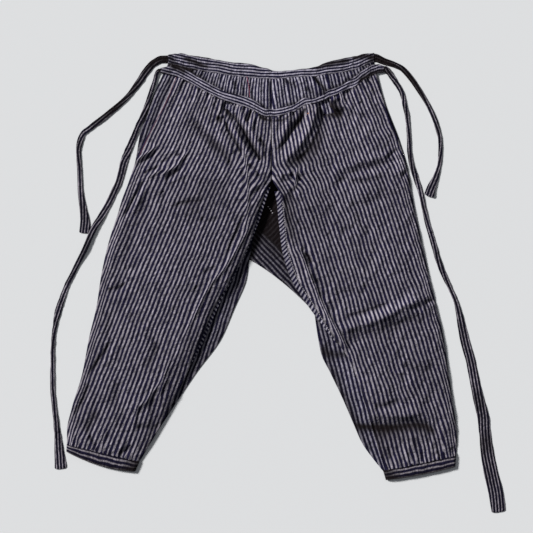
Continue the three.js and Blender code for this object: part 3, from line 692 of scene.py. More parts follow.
FRONT_BAND = [
    BandStation(-247, 443, 451, 1.6),
    BandStation(-231, 440, 456, 3.8),
    BandStation(-216, 435, 455, 4.2),
    BandStation(-191, 424, 448, 4),
    BandStation(-162, 407, 430, 5),
    BandStation(-132, 392, 414, 6.5),
    BandStation(-101, 379, 398, 7.5),
    BandStation(-69, 370, 392, 8),
    BandStation(-44, 358, 381, 8.5),
    BandStation(-25, 350, 366, 8.5),
    BandStation(-13, 349, 364, 8.5),
    BandStation(15, 353, 372, 8.5),
    BandStation(32, 361, 375, 8.5),
    BandStation(52, 371, 388, 8),
    BandStation(82, 381, 391, 7.5),
    BandStation(105, 389, 404, 7),
    BandStation(136, 402, 417, 6),
    BandStation(162, 413, 435, 4),
    BandStation(178, 424, 447, 3.7),
    BandStation(193, 434, 457, 2.8),
    BandStation(208, 440, 460, 2.4),
    BandStation(223, 444, 458, 1.6),
]
Fold = namedtuple("Fold", "start end wide high")
FOLDS_RIGHT = [
    Fold((-107, 372), (-30, 250), 13, -3.5),
    Fold((-126, 366), (-60, 262), 12, 2.5),
    Fold((-296, 262), (-250, 290), 12, 3),
    Fold((-103, 2), (-153, -112), 14, 3),
    Fold((-223, -166), (-305, -250), 18, 3),
]
FOLDS_LEFT = [
    Fold((99, 380), (38, 286), 14, -3.0),
    Fold((120, 372), (60, 262), 14, 2.5),
    Fold((140, 228), (255, 256), 13, -3),
    Fold((149, -103), (336, -42), 16, 3),
    Fold((216, -288), (336, -298), 14, -3),
]
FRONT_CREASES_RIGHT = [
    Crease([(-101, 376), (-94, 358), (-86, 345), (-74, 325), (-66, 312), (-55, 289), (-43, 272),
            (-31, 253)], -6.0, 6, -0.4, (0.06, 0.08)),
    Crease([(-84, 366), (-66, 332), (-50, 302), (-34, 278), (-24, 262)], 4.6, 8),
    Crease([(-112, 350), (-104, 321), (-95, 306), (-86, 294), (-80, 282), (-73, 268)], -4.0, 4, -0.3,
           (0.2, 0.12)),
    Crease([(-98, 340), (-80, 304), (-62, 276), (-52, 262)], 3.6, 5),
    Crease([(-128, 330), (-108, 296), (-90, 268)], 3.4, 8),
    Crease([(-150, 322), (-132, 294), (-110, 269), (-92, 244)], -3.4, 9, -0.3, (0.25, 0.2)),
    Crease([(-190, 356), (-172, 334), (-148, 304), (-122, 272), (-108, 252)], -3.2, 11, -0.2,
           (0.25, 0.3)),
    Crease([(-170, 362), (-146, 334), (-124, 304)], 2.0, 12, 0.0, (0.3, 0.3)),
    Crease([(-104, 258), (-96, 250), (-86, 246)], -2.0, 6),
    Crease([(-128, 350), (-118, 344), (-108, 350)], -4.5, 5, 0.0, (0.25, 0.25)),
    Crease([(-120, 352), (-116, 364), (-108, 377)], -3.2, 3.5),
    Crease([(-112, 380), (-106, 373), (-102, 368)], -4.5, 6),
    Crease([(-102, 372), (-96, 360), (-90, 350)], -2.4, 7),
    Crease([(-56, 362), (-61, 349), (-67, 335)], -4.2, 4, 0.0, (0.05, 0.3)),
    Crease([(-48, 352), (-52, 338), (-56, 322)], 2.8, 5),
    Crease([(-41, 356), (-32, 348), (-22, 340)], -3.4, 4),
    Crease([(-40, 303), (-31, 295), (-22, 284)], -3.0, 5),
    Crease([(-29, 276), (-27, 266), (-23, 256)], -2.0, 3),
    Crease([(-72, 292), (-67, 252), (-63, 214), (-62, 170), (-68, 104)], 1.2, 4, 0.0, (0.15, 0.45),
           5.0),
    Crease([(-152, 368), (-142, 357), (-131, 347)], -2.4, 5),
    Crease([(-136, 378), (-128, 368), (-122, 360)], -1.8, 4),
    Crease([(-206, 376), (-200, 368), (-190, 362)], -1.6, 4),
    Crease([(-80, 232), (-52, 226), (-28, 221)], -1.4, 4),
    Crease([(-92, 176), (-76, 173), (-60, 167)], -1.2, 4),
    Crease([(-16, 226), (-34, 224), (-56, 230), (-74, 240)], 2.2, 4.5),
    Crease([(-62, 250), (-48, 238), (-34, 225)], -3.2, 3.5),
    Crease([(-54, 236), (-44, 230), (-26, 231)], 2.6, 3),
    Crease([(-24, 216), (-44, 206), (-62, 190)], 2.4, 5),
    Crease([(-34, 200), (-50, 186), (-62, 164)], -1.8, 5),
    Crease([(-300, 258), (-285, 266), (-268, 277), (-250, 288)], 3.0, 3.6, 0.0, (0.1, 0.3), 2.5),
    Crease([(-246, 225), (-233, 235), (-214, 245), (-200, 256)], 2.6, 3.6, 0.0, (0.2, 0.3), 2.5),
    Crease([(-208, 252), (-200, 262), (-186, 280)], 2.4, 3.2, 0.0, (0.2, 0.4), 2.0),
    Crease([(-302, 252), (-292, 249), (-281, 256), (-264, 270), (-250, 279)], -3.4, 4.5, 0.0,
           (0.1, 0.3)),
    Crease([(-281, 229), (-267, 236), (-249, 244)], -3.2, 4),
    Crease([(-276, 221), (-260, 229), (-240, 238)], 2.4, 3.6, 0.0, (0.15, 0.2), 2.0),
    Crease([(-238, 218), (-219, 228), (-199, 243)], -3.8, 5),
    Crease([(-228, 212), (-212, 220), (-196, 230)], 1.6, 6),
    Crease([(-206, 253), (-193, 251), (-179, 243)], -2.2, 8),
    Crease([(-246, 253), (-236, 257), (-225, 263)], -2.2, 4),
    Crease([(-226, 266), (-214, 268), (-202, 268)], -2.2, 4),
    Crease([(-240, 268), (-226, 276), (-206, 280)], 1.4, 6),
    Crease([(-281, 217), (-292, 196), (-306, 172), (-320, 146), (-328, 128)], -3.4, 4, -0.2,
           (0.1, 0.3)),
    Crease([(-272, 210), (-285, 186), (-298, 162), (-308, 140)], 2.4, 6),
    Crease([(-262, 190), (-280, 160), (-298, 120), (-312, 80), (-326, 40), (-334, 14)], -2.0, 14,
           0.0, (0.2, 0.2)),
    Crease([(-316, 146), (-336, 96), (-350, 50), (-357, 10)], 1.8, 8),
    Crease([(-243, 194), (-238, 186), (-236, 176)], -2.2, 6),
    Crease([(-228, 156), (-206, 166), (-184, 170), (-166, 170), (-148, 176)], -3.2, 5.5, 0.3,
           (0.3, 0.2)),
    Crease([(-206, 181), (-184, 183), (-160, 184)], 1.4, 7),
    Crease([(-163, 138), (-148, 131), (-136, 131), (-120, 137)], -3.0, 5, 0.2),
    Crease([(-172, 206), (-130, 200), (-88, 204)], -2.4, 14, 0.0, (0.3, 0.3)),
    Crease([(-66, 150), (-76, 128), (-90, 98), (-104, 66), (-112, 46)], -2.4, 5, -0.2, (0.2, 0.2)),
    Crease([(-52, 130), (-70, 98), (-90, 64), (-112, 30), (-138, 2), (-156, -28), (-176, -70),
            (-194, -106), (-208, -138)], 2.4, 4.5, 0.0, (0.12, 0.3), 2.8),
    Crease([(-214, -146), (-230, -170), (-242, -204), (-262, -226), (-274, -246), (-294, -258),
            (-300, -286), (-308, -314)], 2.4, 5, 0.0, (0.3, 0.3), 2.4),
    Crease([(-226, -190), (-240, -214), (-252, -244)], 1.8, 3.5, 0.0, (0.3, 0.3), 2.0),
    Crease([(-157, 21), (-142, 27), (-125, 31)], -2.6, 5),
    Crease([(-174, -7), (-165, -16), (-158, -23)], -2.4, 6),
    Crease([(-358, -13), (-343, -14), (-331, -9), (-315, 1)], -3.2, 4.5, 0.2),
    Crease([(-354, 1), (-342, 2), (-330, 6)], 1.6, 6),
    Crease([(-342, -110), (-360, -140), (-376, -162), (-390, -182), (-402, -204)], -3.2, 5.5, -0.2,
           (0.3, 0.25)),
    Crease([(-336, -128), (-350, -152), (-366, -176)], 1.8, 9),
    Crease([(-394, -206), (-404, -238), (-416, -262), (-428, -282)], -3.4, 6),
    Crease([(-376, -268), (-390, -292), (-402, -316)], -3.4, 9, 0.0, (0.3, 0.2)),
    Crease([(-397, -319), (-387, -331), (-376, -342)], -3.4, 4),
    Crease([(-304, -268), (-288, -271), (-272, -263)], -1.2, 9),
    Crease([(-298, -300), (-278, -304), (-262, -304), (-242, -296)], -2.8, 6, 0.3),
    Crease([(-306, -288), (-284, -290), (-262, -286)], 1.6, 7),
    Crease([(-334, -359), (-318, -351), (-301, -341)], -3.6, 6),
    Crease([(-250, -120), (-252, -140), (-262, -160), (-276, -178)], -2.4, 9),
    Crease([(-330, -194), (-336, -232), (-352, -270)], -2.6, 11, 0.0, (0.3, 0.3)),
    Crease([(-314, -66), (-292, -72), (-270, -85)], -2.2, 8),
    Crease([(-352, -58), (-350, -90), (-361, -120)], -2.2, 9),
    Crease([(-322, 29), (-302, 35), (-284, 31)], -1.8, 7),
    Crease([(-304, -248), (-282, -251), (-260, -244)], 2.0, 10),
    Crease([(-266, -217), (-252, -220), (-240, -222)], 2.0, 6),
    Crease([(-388, -306), (-372, -316), (-356, -318)], 1.8, 8),
    Crease([(-352, -334), (-336, -331), (-318, -328)], 1.8, 9),
    Crease([(-222, -6), (-204, -4), (-186, 2)], 1.6, 10),
]
FRONT_CREASES_LEFT = [
    Crease([(62, 366), (53, 356), (46, 342), (29, 325), (22, 312), (14, 297), (1, 280), (-4, 270)],
           -5.0, 6, -0.3, (0.05, 0.25)),
    Crease([(34, 356), (22, 336), (10, 314), (0, 298)], 2.4, 8),
    Crease([(84, 374), (75, 346), (66, 321), (53, 298), (32, 273), (6, 250)], 5.6, 10, 0.35,
           (0.06, 0.4)),
    Crease([(103, 386), (98, 358), (93, 332), (85, 308), (73, 286), (56, 267), (34, 249), (10, 226)],
           -5.0, 12, -0.45, (0.03, 0.5)),
    Crease([(18, 260), (40, 258), (64, 262)], -2.6, 10),
    Crease([(120, 330), (108, 300), (92, 270), (78, 240)], 2.0, 14, 0.0, (0.3, 0.3)),
    Crease([(96, 386), (102, 370), (108, 352)], -5.0, 7, 0.0, (0.05, 0.2)),
    Crease([(106, 366), (122, 356), (142, 350)], -6.0, 9),
    Crease([(112, 388), (116, 374), (122, 360)], 2.4, 3),
    Crease([(126, 388), (136, 379), (148, 373)], -3.4, 5),
    Crease([(108, 380), (118, 370), (124, 362)], 2.2, 4.5),
    Crease([(130, 374), (146, 369), (164, 360), (188, 351)], 3.8, 6, -0.3, (0.15, 0.4)),
    Crease([(136, 404), (150, 401), (162, 408)], -2.8, 6),
    Crease([(198, 410), (206, 402), (208, 392)], -2.2, 5),
    Crease([(172, 382), (180, 374), (186, 364)], -1.8, 6),
    Crease([(186, 430), (196, 424), (202, 414)], -3.0, 6),
    Crease([(128, 226), (158, 233), (190, 243), (216, 250), (244, 246)], -1.5, 6, 0.3, (0.35, 0.15)),
    Crease([(130, 243), (170, 253), (210, 263), (248, 266)], 3.4, 9, -0.2, (0.3, 0.2)),
    Crease([(226, 260), (238, 272), (250, 280), (259, 284)], -3.2, 4, 0.2),
    Crease([(196, 229), (226, 232), (254, 224)], 2.0, 7),
    Crease([(118, 211), (144, 217), (166, 211), (186, 213), (206, 220), (226, 212), (236, 196)],
           -2.8, 6),
    Crease([(258, 225), (268, 231), (277, 237)], -4.0, 5),
    Crease([(0, 228), (16, 232), (40, 230), (58, 236)], 2.2, 5),
    Crease([(4, 218), (20, 214), (38, 216), (56, 214)], -2.2, 4.5),
    Crease([(2, 222), (22, 220), (36, 207)], 2.8, 7),
    Crease([(44, 248), (39, 230), (37, 208), (34, 190)], 2.6, 3, 0.0, (0.3, 0.3), 5.0),
    Crease([(-12, 227), (6, 226), (22, 229), (34, 240)], 2.2, 3.5),
    Crease([(112, 400), (118, 389), (119, 378)], 2.4, 3, 0.0, (0.2, 0.3), 2.5),
    Crease([(128, 404), (135, 392), (138, 380)], 2.2, 3, 0.0, (0.2, 0.3), 2.5),
    Crease([(40, 202), (30, 190), (33, 177), (46, 169), (60, 172)], -3.0, 4.5),
    Crease([(47, 198), (42, 184), (52, 170), (66, 150)], 2.6, 5),
    Crease([(20, 190), (16, 156), (18, 114)], -3.4, 11, 0.0, (0.2, 0.2)),
    Crease([(40, 133), (58, 119), (78, 104)], -2.4, 5),
    Crease([(130, 105), (148, 113), (166, 119)], -2.2, 7),
    Crease([(148, 165), (176, 163), (200, 170), (224, 179)], -2.6, 9),
    Crease([(162, 152), (180, 122), (196, 94)], -2.0, 9),
    Crease([(146, 196), (180, 189), (218, 193)], 2.0, 13),
    Crease([(104, 106), (112, 96), (120, 88)], -1.8, 6),
    Crease([(26, 90), (40, 79), (54, 69)], 2.8, 9),
    Crease([(56, 66), (66, 54), (72, 40)], -3.6, 4, 0.2, (0.3, 0.3)),
    Crease([(42, 76), (50, 60), (60, 34), (72, 4), (86, -28), (100, -58), (112, -78), (122, -95),
            (134, -116), (150, -141)], 3.6, 5, 0.0, (0.08, 0.1), 3.5),
    Crease([(80, 10), (94, -1), (114, -9)], -3.0, 5, 0.2),
    Crease([(106, -38), (115, -48), (125, -60)], -2.8, 6),
    Crease([(116, -21), (150, -18), (186, -27)], -2.2, 7),
    Crease([(178, -5), (190, -7), (202, -10)], -1.8, 6),
    Crease([(136, -75), (166, -66), (194, -58), (220, -48), (238, -39)], -3.6, 6, 0.2),
    Crease([(118, -99), (160, -91), (200, -79), (236, -64), (262, -48), (308, -35)], 5.5, 10, -0.3,
           (0.15, 0.12)),
    Crease([(134, -106), (180, -108), (216, -100), (248, -84), (282, -76), (322, -65)], -2.4, 11,
           0.3, (0.2, 0.12)),
    Crease([(306, -43), (322, -37), (338, -38)], -4.0, 5),
    Crease([(300, -52), (310, -66), (322, -80)], 1.8, 4),
    Crease([(260, -170), (284, -178), (312, -181), (334, -165)], -2.6, 8),
    Crease([(259, -188), (264, -198), (270, -209)], -2.4, 7),
    Crease([(156, -208), (196, -221), (244, -224)], 2.6, 12),
    Crease([(200, -261), (226, -257), (246, -251), (259, -240)], -3.6, 7, 0.2),
    Crease([(186, -276), (250, -279), (308, -272)], 5.0, 9, -0.3, (0.15, 0.15)),
    Crease([(146, -297), (200, -302), (250, -301), (290, -295), (312, -299), (330, -312),
            (342, -324)], -7.0, 11, 0.3, (0.35, 0.14)),
    Crease([(262, -324), (296, -322), (322, -330)], 2.0, 9),
    Crease([(176, -335), (184, -330), (192, -323)], -3.4, 6),
    Crease([(232, -344), (236, -358), (239, -374)], -2.4, 6),
    Crease([(302, -354), (305, -362), (307, -372)], -2.4, 6),
    Crease([(367, -344), (371, -350), (373, -358)], -2.4, 6),
    Crease([(321, -334), (325, -346), (329, -362)], 1.8, 5),
    Crease([(266, -348), (271, -360), (277, -376)], 1.8, 5),
]
FRONT_SHADOWS_RIGHT = [
    Shadow([(-42, 349), (-24, 343), (-10, 340)], 3.4, 0.78, 0.0, 0.2),
    Shadow([(-28, 190), (-46, 144), (-62, 98), (-82, 46), (-106, 0)], 5, 0.35, 0.0, 0.1),
    Shadow([(-112, 10), (-140, -44), (-162, -90), (-186, -136), (-212, -190), (-242, -252)], 12,
           0.14, 0.0, 0.15),
    Shadow([(-113, 376), (-104, 356), (-93, 334)], 6, 0.55, 0.0, 0.3),
    Shadow([(-340, 60), (-362, -40), (-386, -140), (-404, -240), (-424, -330)], 42, 0.15, 0.0, 0.15),
    Shadow([(-150, 214), (-174, 160), (-186, 110)], 42, 0.14, 0.0, 0.3),
    Shadow([(-222, 440), (-238, 390), (-258, 340), (-280, 290)], 20, 0.28, 0.0, 0.1),
    Shadow([(-210, 370), (-180, 335), (-140, 300)], 36, 0.16, 0.0, 0.3),
    Shadow([(-214, -230), (-246, -290), (-286, -356)], 16, 0.34, 0.0, 0.2),
    Shadow([(-62, 352), (-54, 320), (-50, 286)], 13, -0.14, 0.0, 0.3),
    Shadow([(-112, 30), (-138, 2), (-156, -28), (-176, -70), (-192, -102), (-214, -155),
            (-236, -194), (-258, -222), (-290, -250)], 3, -0.25, 0.0, 0.2),
    Shadow([(-101, 378), (-94, 358), (-86, 345), (-74, 325), (-66, 312), (-55, 289), (-43, 272),
            (-31, 252)], 5, 0.32, 0.3, 0.12),
    Shadow([(-84, 340), (-74, 324), (-66, 311), (-55, 289), (-43, 272), (-30, 250)], 7, 0.46, 0.2,
           0.35),
    Shadow([(-112, 352), (-104, 321), (-95, 306), (-86, 294), (-80, 282), (-72, 266)], 3.2, 0.55,
           0.0, 0.25),
    Shadow([(-146, 320), (-132, 296), (-110, 271), (-92, 242)], 9, 0.32, 0.0, 0.35),
    Shadow([(-186, 352), (-170, 332), (-148, 304), (-118, 268)], 10, 0.26, 0.0, 0.35),
    Shadow([(-133, 354), (-124, 344), (-114, 336)], 7, 0.72, 0.0, 0.3),
    Shadow([(-122, 388), (-112, 376), (-104, 362), (-98, 350)], 7, 0.6, 0.0, 0.3),
    Shadow([(-54, 366), (-61, 349), (-68, 332)], 4, 0.7, 0.0, 0.25),
    Shadow([(-44, 358), (-32, 349), (-20, 342)], 4.5, 0.55, 0.0, 0.25),
    Shadow([(-42, 306), (-31, 295), (-21, 280)], 4, 0.55, 0.0, 0.3),
    Shadow([(-30, 280), (-27, 266), (-23, 252)], 2.5, 0.5, 0.0, 0.3),
    Shadow([(-14.5, 352), (-13.5, 300), (-14, 222)], 2.2, 0.55, 0.0, 0.06),
    Shadow([(-62, 254), (-48, 238), (-34, 222)], 5, 0.3),
    Shadow([(-342, -110), (-360, -141), (-378, -166), (-402, -204)], 6, 0.22, 0.0, 0.35),
    Shadow([(-372, -260), (-386, -288), (-404, -322)], 12, 0.26),
    Shadow([(-332, -230), (-340, -270), (-352, -310)], 18, 0.14),
    Shadow([(-248, -116), (-258, -150), (-280, -190)], 16, 0.18),
    Shadow([(-240, 150), (-190, 166), (-130, 180), (-90, 196)], 26, 0.12, 0.0, 0.35),
    Shadow([(-262, 188), (-290, 134), (-316, 70), (-334, 10)], 11, 0.08),
    Shadow([(-228, 156), (-204, 167), (-180, 170), (-148, 176)], 5, 0.2, 0.0, 0.4),
]
FRONT_SHADOWS_LEFT = [
    Shadow([(60, 330), (130, 230), (210, 120), (290, 0), (330, -70)], 75, -0.12, 0.0, 0.12),
    Shadow([(222, 380), (246, 306), (278, 190), (310, 60), (340, -80), (362, -220)], 15, -0.26, 0.0,
           0.12),
    Shadow([(170, -72), (230, -54), (290, -30), (330, -24)], 13, -0.22, 0.0, 0.3),
    Shadow([(100, 340), (90, 302), (76, 268), (52, 236)], 16, 0.44, -0.4, 0.35),
    Shadow([(140, -180), (178, -262), (206, -330), (228, -394)], 16, 0.36, 0.0, 0.2),
    Shadow([(196, -316), (226, -350), (244, -384)], 26, 0.2, 0.0, 0.3),
    Shadow([(0, 252), (24, 274), (46, 302), (62, 334)], 9, -0.16, 0.0, 0.3),
    Shadow([(98, 396), (122, 389), (148, 380)], 5, -0.3, 0.0, 0.3),
    Shadow([(-12, 340), (10, 342), (28, 351)], 3.2, 0.7, 0.0, 0.2),
    Shadow([(40, 207), (34, 198), (31, 190)], 4, 0.5, 0.0, 0.3),
    Shadow([(52, 68), (64, 56), (70, 46), (74, 36)], 4, 0.6, 0.0, 0.3),
    Shadow([(144, -101), (153, -105), (162, -100)], 2.2, 0.55, 0.0, 0.3),
    Shadow([(99, 388), (94, 358), (86, 332), (78, 309), (67, 290), (52, 273), (32, 257), (10, 242),
            (-2, 226)], 8, 0.42, -0.65, 0.3),
    Shadow([(92, 386), (100, 368), (114, 360), (146, 356)], 18, 0.84, -0.2, 0.25),
    Shadow([(92, 386), (99, 368), (107, 350)], 12, 0.45, 0.0, 0.3),
    Shadow([(94, 380), (110, 374), (128, 366)], 12, 0.5, 0.0, 0.3),
    Shadow([(76, 306), (62, 284), (44, 266), (20, 250)], 10, 0.3, -0.4, 0.3),
    Shadow([(84, 330), (72, 294), (54, 268), (34, 248), (14, 224)], 17, 0.22, 0.0, 0.35),
    Shadow([(130, 366), (160, 354), (190, 350), (206, 372)], 10, 0.12),
    Shadow([(64, 370), (53, 356), (44, 340), (29, 324), (22, 311), (14, 296), (1, 279), (-6, 266)], 5,
           0.42, 0.0, 0.2),
    Shadow([(58, 364), (48, 348), (40, 334), (28, 322)], 8, 0.6, 0.0, 0.35),
    Shadow([(-10, 352), (-10.5, 300), (-10, 222)], 2, 0.3, 0.0, 0.06),
    Shadow([(28, 210), (22, 176), (22, 140), (28, 104), (40, 60)], 16, 0.52, 0.0, 0.3),
    Shadow([(192, 266), (240, 258), (280, 262)], 30, -0.08, 0.0, 0.3),
    Shadow([(78, -56), (104, -104), (140, -160)], 12, 0.2, 0.0, 0.3),
    Shadow([(46, 176), (70, 140), (92, 100)], 14, 0.18),
    Shadow([(122, -110), (180, -108), (240, -90), (290, -74), (334, -62)], 11, 0.16, 0.35, 0.3),
    Shadow([(176, -301), (230, -303), (290, -297), (312, -300), (330, -313), (346, -330)], 9.5, 0.76,
           0.4, 0.25),
    Shadow([(150, -297), (190, -301), (230, -303), (270, -303)], 8, 0.6, 0.3, 0.35),
    Shadow([(74, -42), (110, -102), (155, -172), (182, -250), (204, -325), (225, -394)], 3, 0.45),
    Shadow([(170, -316), (250, -322), (336, -322)], 15, 0.3, 0.0, 0.3),
    Shadow([(130, 226), (160, 233), (196, 244), (244, 246)], 5, 0.16, 0.2, 0.4),
    Shadow([(252, -170), (300, -184), (346, -172)], 12, 0.22, 0.0, 0.35),
    Shadow([(150, 216), (186, 212), (240, 200)], 14, 0.14, 0.0, 0.35),
    Shadow([(190, -262), (230, -258), (264, -240)], 7, 0.22, 0.0, 0.3),
]
ROLLED = 0.7  # stripes that are turned down and so closed up along a panel's side edge
CUFF_REACH = 30  # how far up the leg the gathers of a cuff reach


def fold_height(folds, x, y):
    """Height that the largest folds add: a bell across each, which fades beyond its ends."""
    height = np.zeros_like(x)
    for fold in folds:
        run = np.subtract(fold.end, fold.start)
        length = np.hypot(*run)
        dx, dy = x - fold.start[0], y - fold.start[1]
        along = (dx * run[0] + dy * run[1]) / length
        off = (dx * run[1] - dy * run[0]) / length
        beyond = np.maximum(0, np.maximum(-along, along - length))
        height += fold.high * np.exp(-(off / fold.wide) ** 2 - (beyond / fold.wide) ** 2)
    return height


def front_plan(sections, across, down):
    return section_plan(sections, FRONT_BAND, across, down)


FRONT_STEP = 45  # mm counted for a section at the waist, really 44 to 46, and cuff, really 39 to 58
EDGE_WIDE = 200  # mm counted across a front panel for the shade of its side edge, really 173 to 296
CREASE_HEIGHT = 1.25  # front creases rise and sink this many times what their table says


def front_surface(cut, across, down):
    """Plan, height, cloth taken up, stripe shift and shade of a front panel's upper face."""
    sections, folds, creases, shadows, seed = cut
    last = len(sections) - 1
    plan = front_plan(sections, across, down)
    x, y = plan[..., 0], plan[..., 1]
    hollow = eased(column(sections, "rise"), down) * np.sqrt(np.maximum(0, bowed(across)))
    tilt = eased(column(sections, "lift"), down) * across ** 2
    inner = np.sin(np.pi * np.clip(across, 0, 1))
    wide = abs(sections[0].inseam[0] - sections[0].side[0])
    waist, waist_shift = gathers(across * wide, down * FRONT_STEP, wide, seed, spacing=10, high=5.2,
                                 reach=30)
    hem_wide = abs(sections[-1].inseam[0] - sections[-1].side[0])
    cuff, cuff_shift = gathers(across * hem_wide, (last - down) * FRONT_STEP, hem_wide, seed + 5,
                               spacing=10, high=2.8, reach=CUFF_REACH)
    fold, taken = creased(creases, x, y)
    fold = CREASE_HEIGHT * fold
    swell = (1.3 * ripple(x, y, 90, seed + 1) + 0.8 * ripple(x, y, 38, seed + 2)
             + 0.5 * crumpled(x, y, 30, seed + 4) + 0.24 * crumpled(x, y, 14, seed + 6))
    edge = fade(across / 0.03) * fade((1 - across) / 0.03)
    relief = (waist + cuff + fold + swell) * edge
    height = np.maximum(0, hollow + tilt + fold_height(folds, x, y) * inner + relief)
    shift = waist_shift + cuff_shift + 0.13 * ripple(x, y, 60, seed + 3)
    # seam here is painted shadow, cast by the front band on the cloth below it and by the cuff on the
    # cloth just above it
    seam = (0.5 * (1 - fade(down * FRONT_STEP / 7))
            + 0.35 * (1 - fade((last - down) * FRONT_STEP / 7)))
    # painted shade: the legs are 10 % darker below the thighs
    lower = 0.1 * (1 - fade((y - 205) / 40))
    # painted shade along the side edge of the leg, where the cloth turns down
    turned = 0.25 * (1 - fade(across * EDGE_WIDE / 9)) * fade(down - 2)
    light = (1 - shaded(shadows, x, y)) * (1 - turned) * (1 - seam) * (1 - lower)
    # painted shade in the hollows of creases, and the panel painted 8 % lighter towards the waist
    shade = 1 - light * np.exp(-0.06 * np.maximum(0, -fold)) * (1 + 0.08 * fade((y - 270) / 60))
    sewn = fade((down - 2.7) / 0.4)
    floor = FRONT_FLOOR - 1.35 * sewn * (1 - fade(across / 0.02))
    return plan, floor + CLOTH + height, taken, shift, shade


def front_panel(name, cut):
    sections = cut[0]

    def place(across, down):
        down = down * (len(sections) - 1)
        plan, z, taken, shift, shade = front_surface(cut, across, down)
        count, lean = stripe_counts(sections, lambda a, d: front_plan(sections, a, d), across, down)
        count += shift + stripe_shift(taken, lean)
        widths = eased(np.abs(np.subtract(column(sections, "side"), column(sections, "inseam"))), down)
        outward = np.sign(sections[0].side[0] - sections[0].inseam[0])
        count += outward * ROLLED * (1 - fade(across * widths[:, 0] / 18)) * fade(down - 2.4)
        inner = fade(down - 3) * (1 - fade(down - 8))
        count -= outward * 0.5 * ROLLED * (1 - fade((1 - across) * widths[:, 0] / 14)) * inner
        thread = np.stack([count * STRIPE, -plan[:, 1]], axis=1)
        return np.column_stack([plan, z]), thread, shade

    return lay_cloth(name, (168, 284), place)


# a front panel's sections, largest folds, creases, shadows and seed
FRONT_CUTS = {
    "right": (FRONT_RIGHT, FOLDS_RIGHT, FRONT_CREASES_RIGHT, FRONT_SHADOWS_RIGHT, 41),
    "left": (FRONT_LEFT, FOLDS_LEFT, FRONT_CREASES_LEFT, FRONT_SHADOWS_LEFT, 57),
}
front_cotton = cotton("front_cotton", NAVY, WARM_GREY)
for side, cut in FRONT_CUTS.items():
    front = front_panel(f"front_leg_cloth_{side}", cut)
    thicken(front, SHEET)
    dress(front, front_cotton, f"front_leg_{side}", "front_cloth", (0.29, 0.83), 0.21,
          [f"back_leg_cloth_{side}"])

# ---------------------------------------------------------------------------------------------
# Gusset strips. Narrow strips of the same cotton cut across the stripes, sewn along the inseam
# of each front panel and falling from it towards the back.

STRIPS = {
    "right": dict(sections=FRONT_RIGHT, shadows=FRONT_SHADOWS_RIGHT, outward=1, lit=1.0, fall=1.5,
                  widths=(0, 0, 0, 1, 8, 7, 3, 3, 9, 8, 0, 0, 0, 0), rows=(11 / 3, 29 / 3)),
    "left": dict(sections=FRONT_LEFT, shadows=FRONT_SHADOWS_LEFT, outward=-1, lit=0.95, fall=6,
                 widths=(0, 0, 0, 1, 13, 14, 14, 15, 14, 6, 0, 0, 0, 0), rows=(11 / 3, 28 / 3)),
}
# The right strip shows 8 to 9 mm of its width, though its cut is given as 10 mm. 10 mm is
# the least that can be declared.
STRIP_CUTS = {"right": ((0.01, 0.41), 0.0023), "left": ((0.016, 0.35), 0.0046)}
STRIP_FULL = 7
STRIP_LEAST = 1.5


def gusset_strip(side, sections, shadows, widths, rows, outward, lit, fall):
    first, last = rows

    def place(across, down):
        down = first + down * (last - first)
        edge = eased(column(sections, "inseam"), down)
        wide = np.maximum(STRIP_LEAST, eased(widths, down))
        drop = fall * across * np.minimum(1, wide / STRIP_FULL)
        under = np.maximum(0, eased(column(sections, "lift"), down) - drop)
        x = edge[:, 0] + outward * (wide * across - 0.4)
        y = edge[:, 1] + 1.6 * np.sin(across * 2) * outward
        z = FRONT_FLOOR + CLOTH - 0.5 + under + 0.3 * ripple(x, y, 16, 71)
        lean = 1.08 * edge[:, 1] + 0.85 * wide * across
        # painted shade: join is the painted shadow in the groove of the join, lit the strip's painted
        # brightness
        join = 1 - 0.85 * np.exp(-((across - 0.17) / 0.07) ** 2)
        shade = 1 - (lit - 0.3 * across ** 3) * join * (1 - 0.35 * shaded(shadows, x, y))
        return np.stack([x, y, z], axis=1), np.stack([lean, x], axis=1), shade

    return lay_cloth(f"gusset_strip_cloth_{side}", (10, 180), place)


for side, cut in STRIPS.items():
    strip = gusset_strip(side, **cut)
    thicken(strip, SHEET)
    dress(strip, back_cotton, f"gusset_strip_{side}", "back_cloth", *STRIP_CUTS[side],
          [f"back_leg_cloth_{side}"])

# ---------------------------------------------------------------------------------------------
# Waistbands. Each is one strip cut along the stripes and folded double over the gathered edge,
# so it is a flat tube. The back band shows its inner side, and the front band lies in a curve
# across the back panels.

BAND_DEPTH = 2.6
BAND_WALL = 0.5
BAND_SHADOWS = [
    Shadow([(66, 452), (96, 459), (124, 464.5), (162, 471)], 7, 0.86),
    Shadow([(150, 472), (180, 478), (218, 473)], 6.5, 0.92),
    Shadow([(180, 454), (192, 462), (204, 468)], 8, 0.6, 0.0, 0.3),
    Shadow([(-234, 476), (-224, 472), (-214, 464)], 8, 0.7),
    Shadow([(-238, 461), (-222, 460), (-204, 458)], 4, 0.75),
    Shadow([(-230, 454), (-210, 451), (-186, 441)], 7, 0.9, 0.0, 0.3),
    Shadow([(-200, 468), (-176, 462), (-150, 453)], 4, 0.6, 0.0, 0.3),
    Shadow([(-206, 477), (-182, 469), (-164, 461), (-140, 452)], 4.2, 0.93),
    Shadow([(-156, 465), (-128, 460), (-98, 455)], 2.2, 0.55),
    Shadow([(-218, 459), (-192, 455), (-172, 449), (-146, 446)], 2.4, 0.55),
    Shadow([(-40, 352), (-20, 348), (0, 348), (24, 355)], 4, 0.6),
    Shadow([(162, 418), (180, 430), (198, 440), (214, 444), (236, 448)], 8.5, 0.88),
    Shadow([(-252, 448), (-236, 446), (-220, 442)], 7, 0.5),
    Shadow([(192, 468), (200, 474), (208, 478)], 10, 0.5),
]


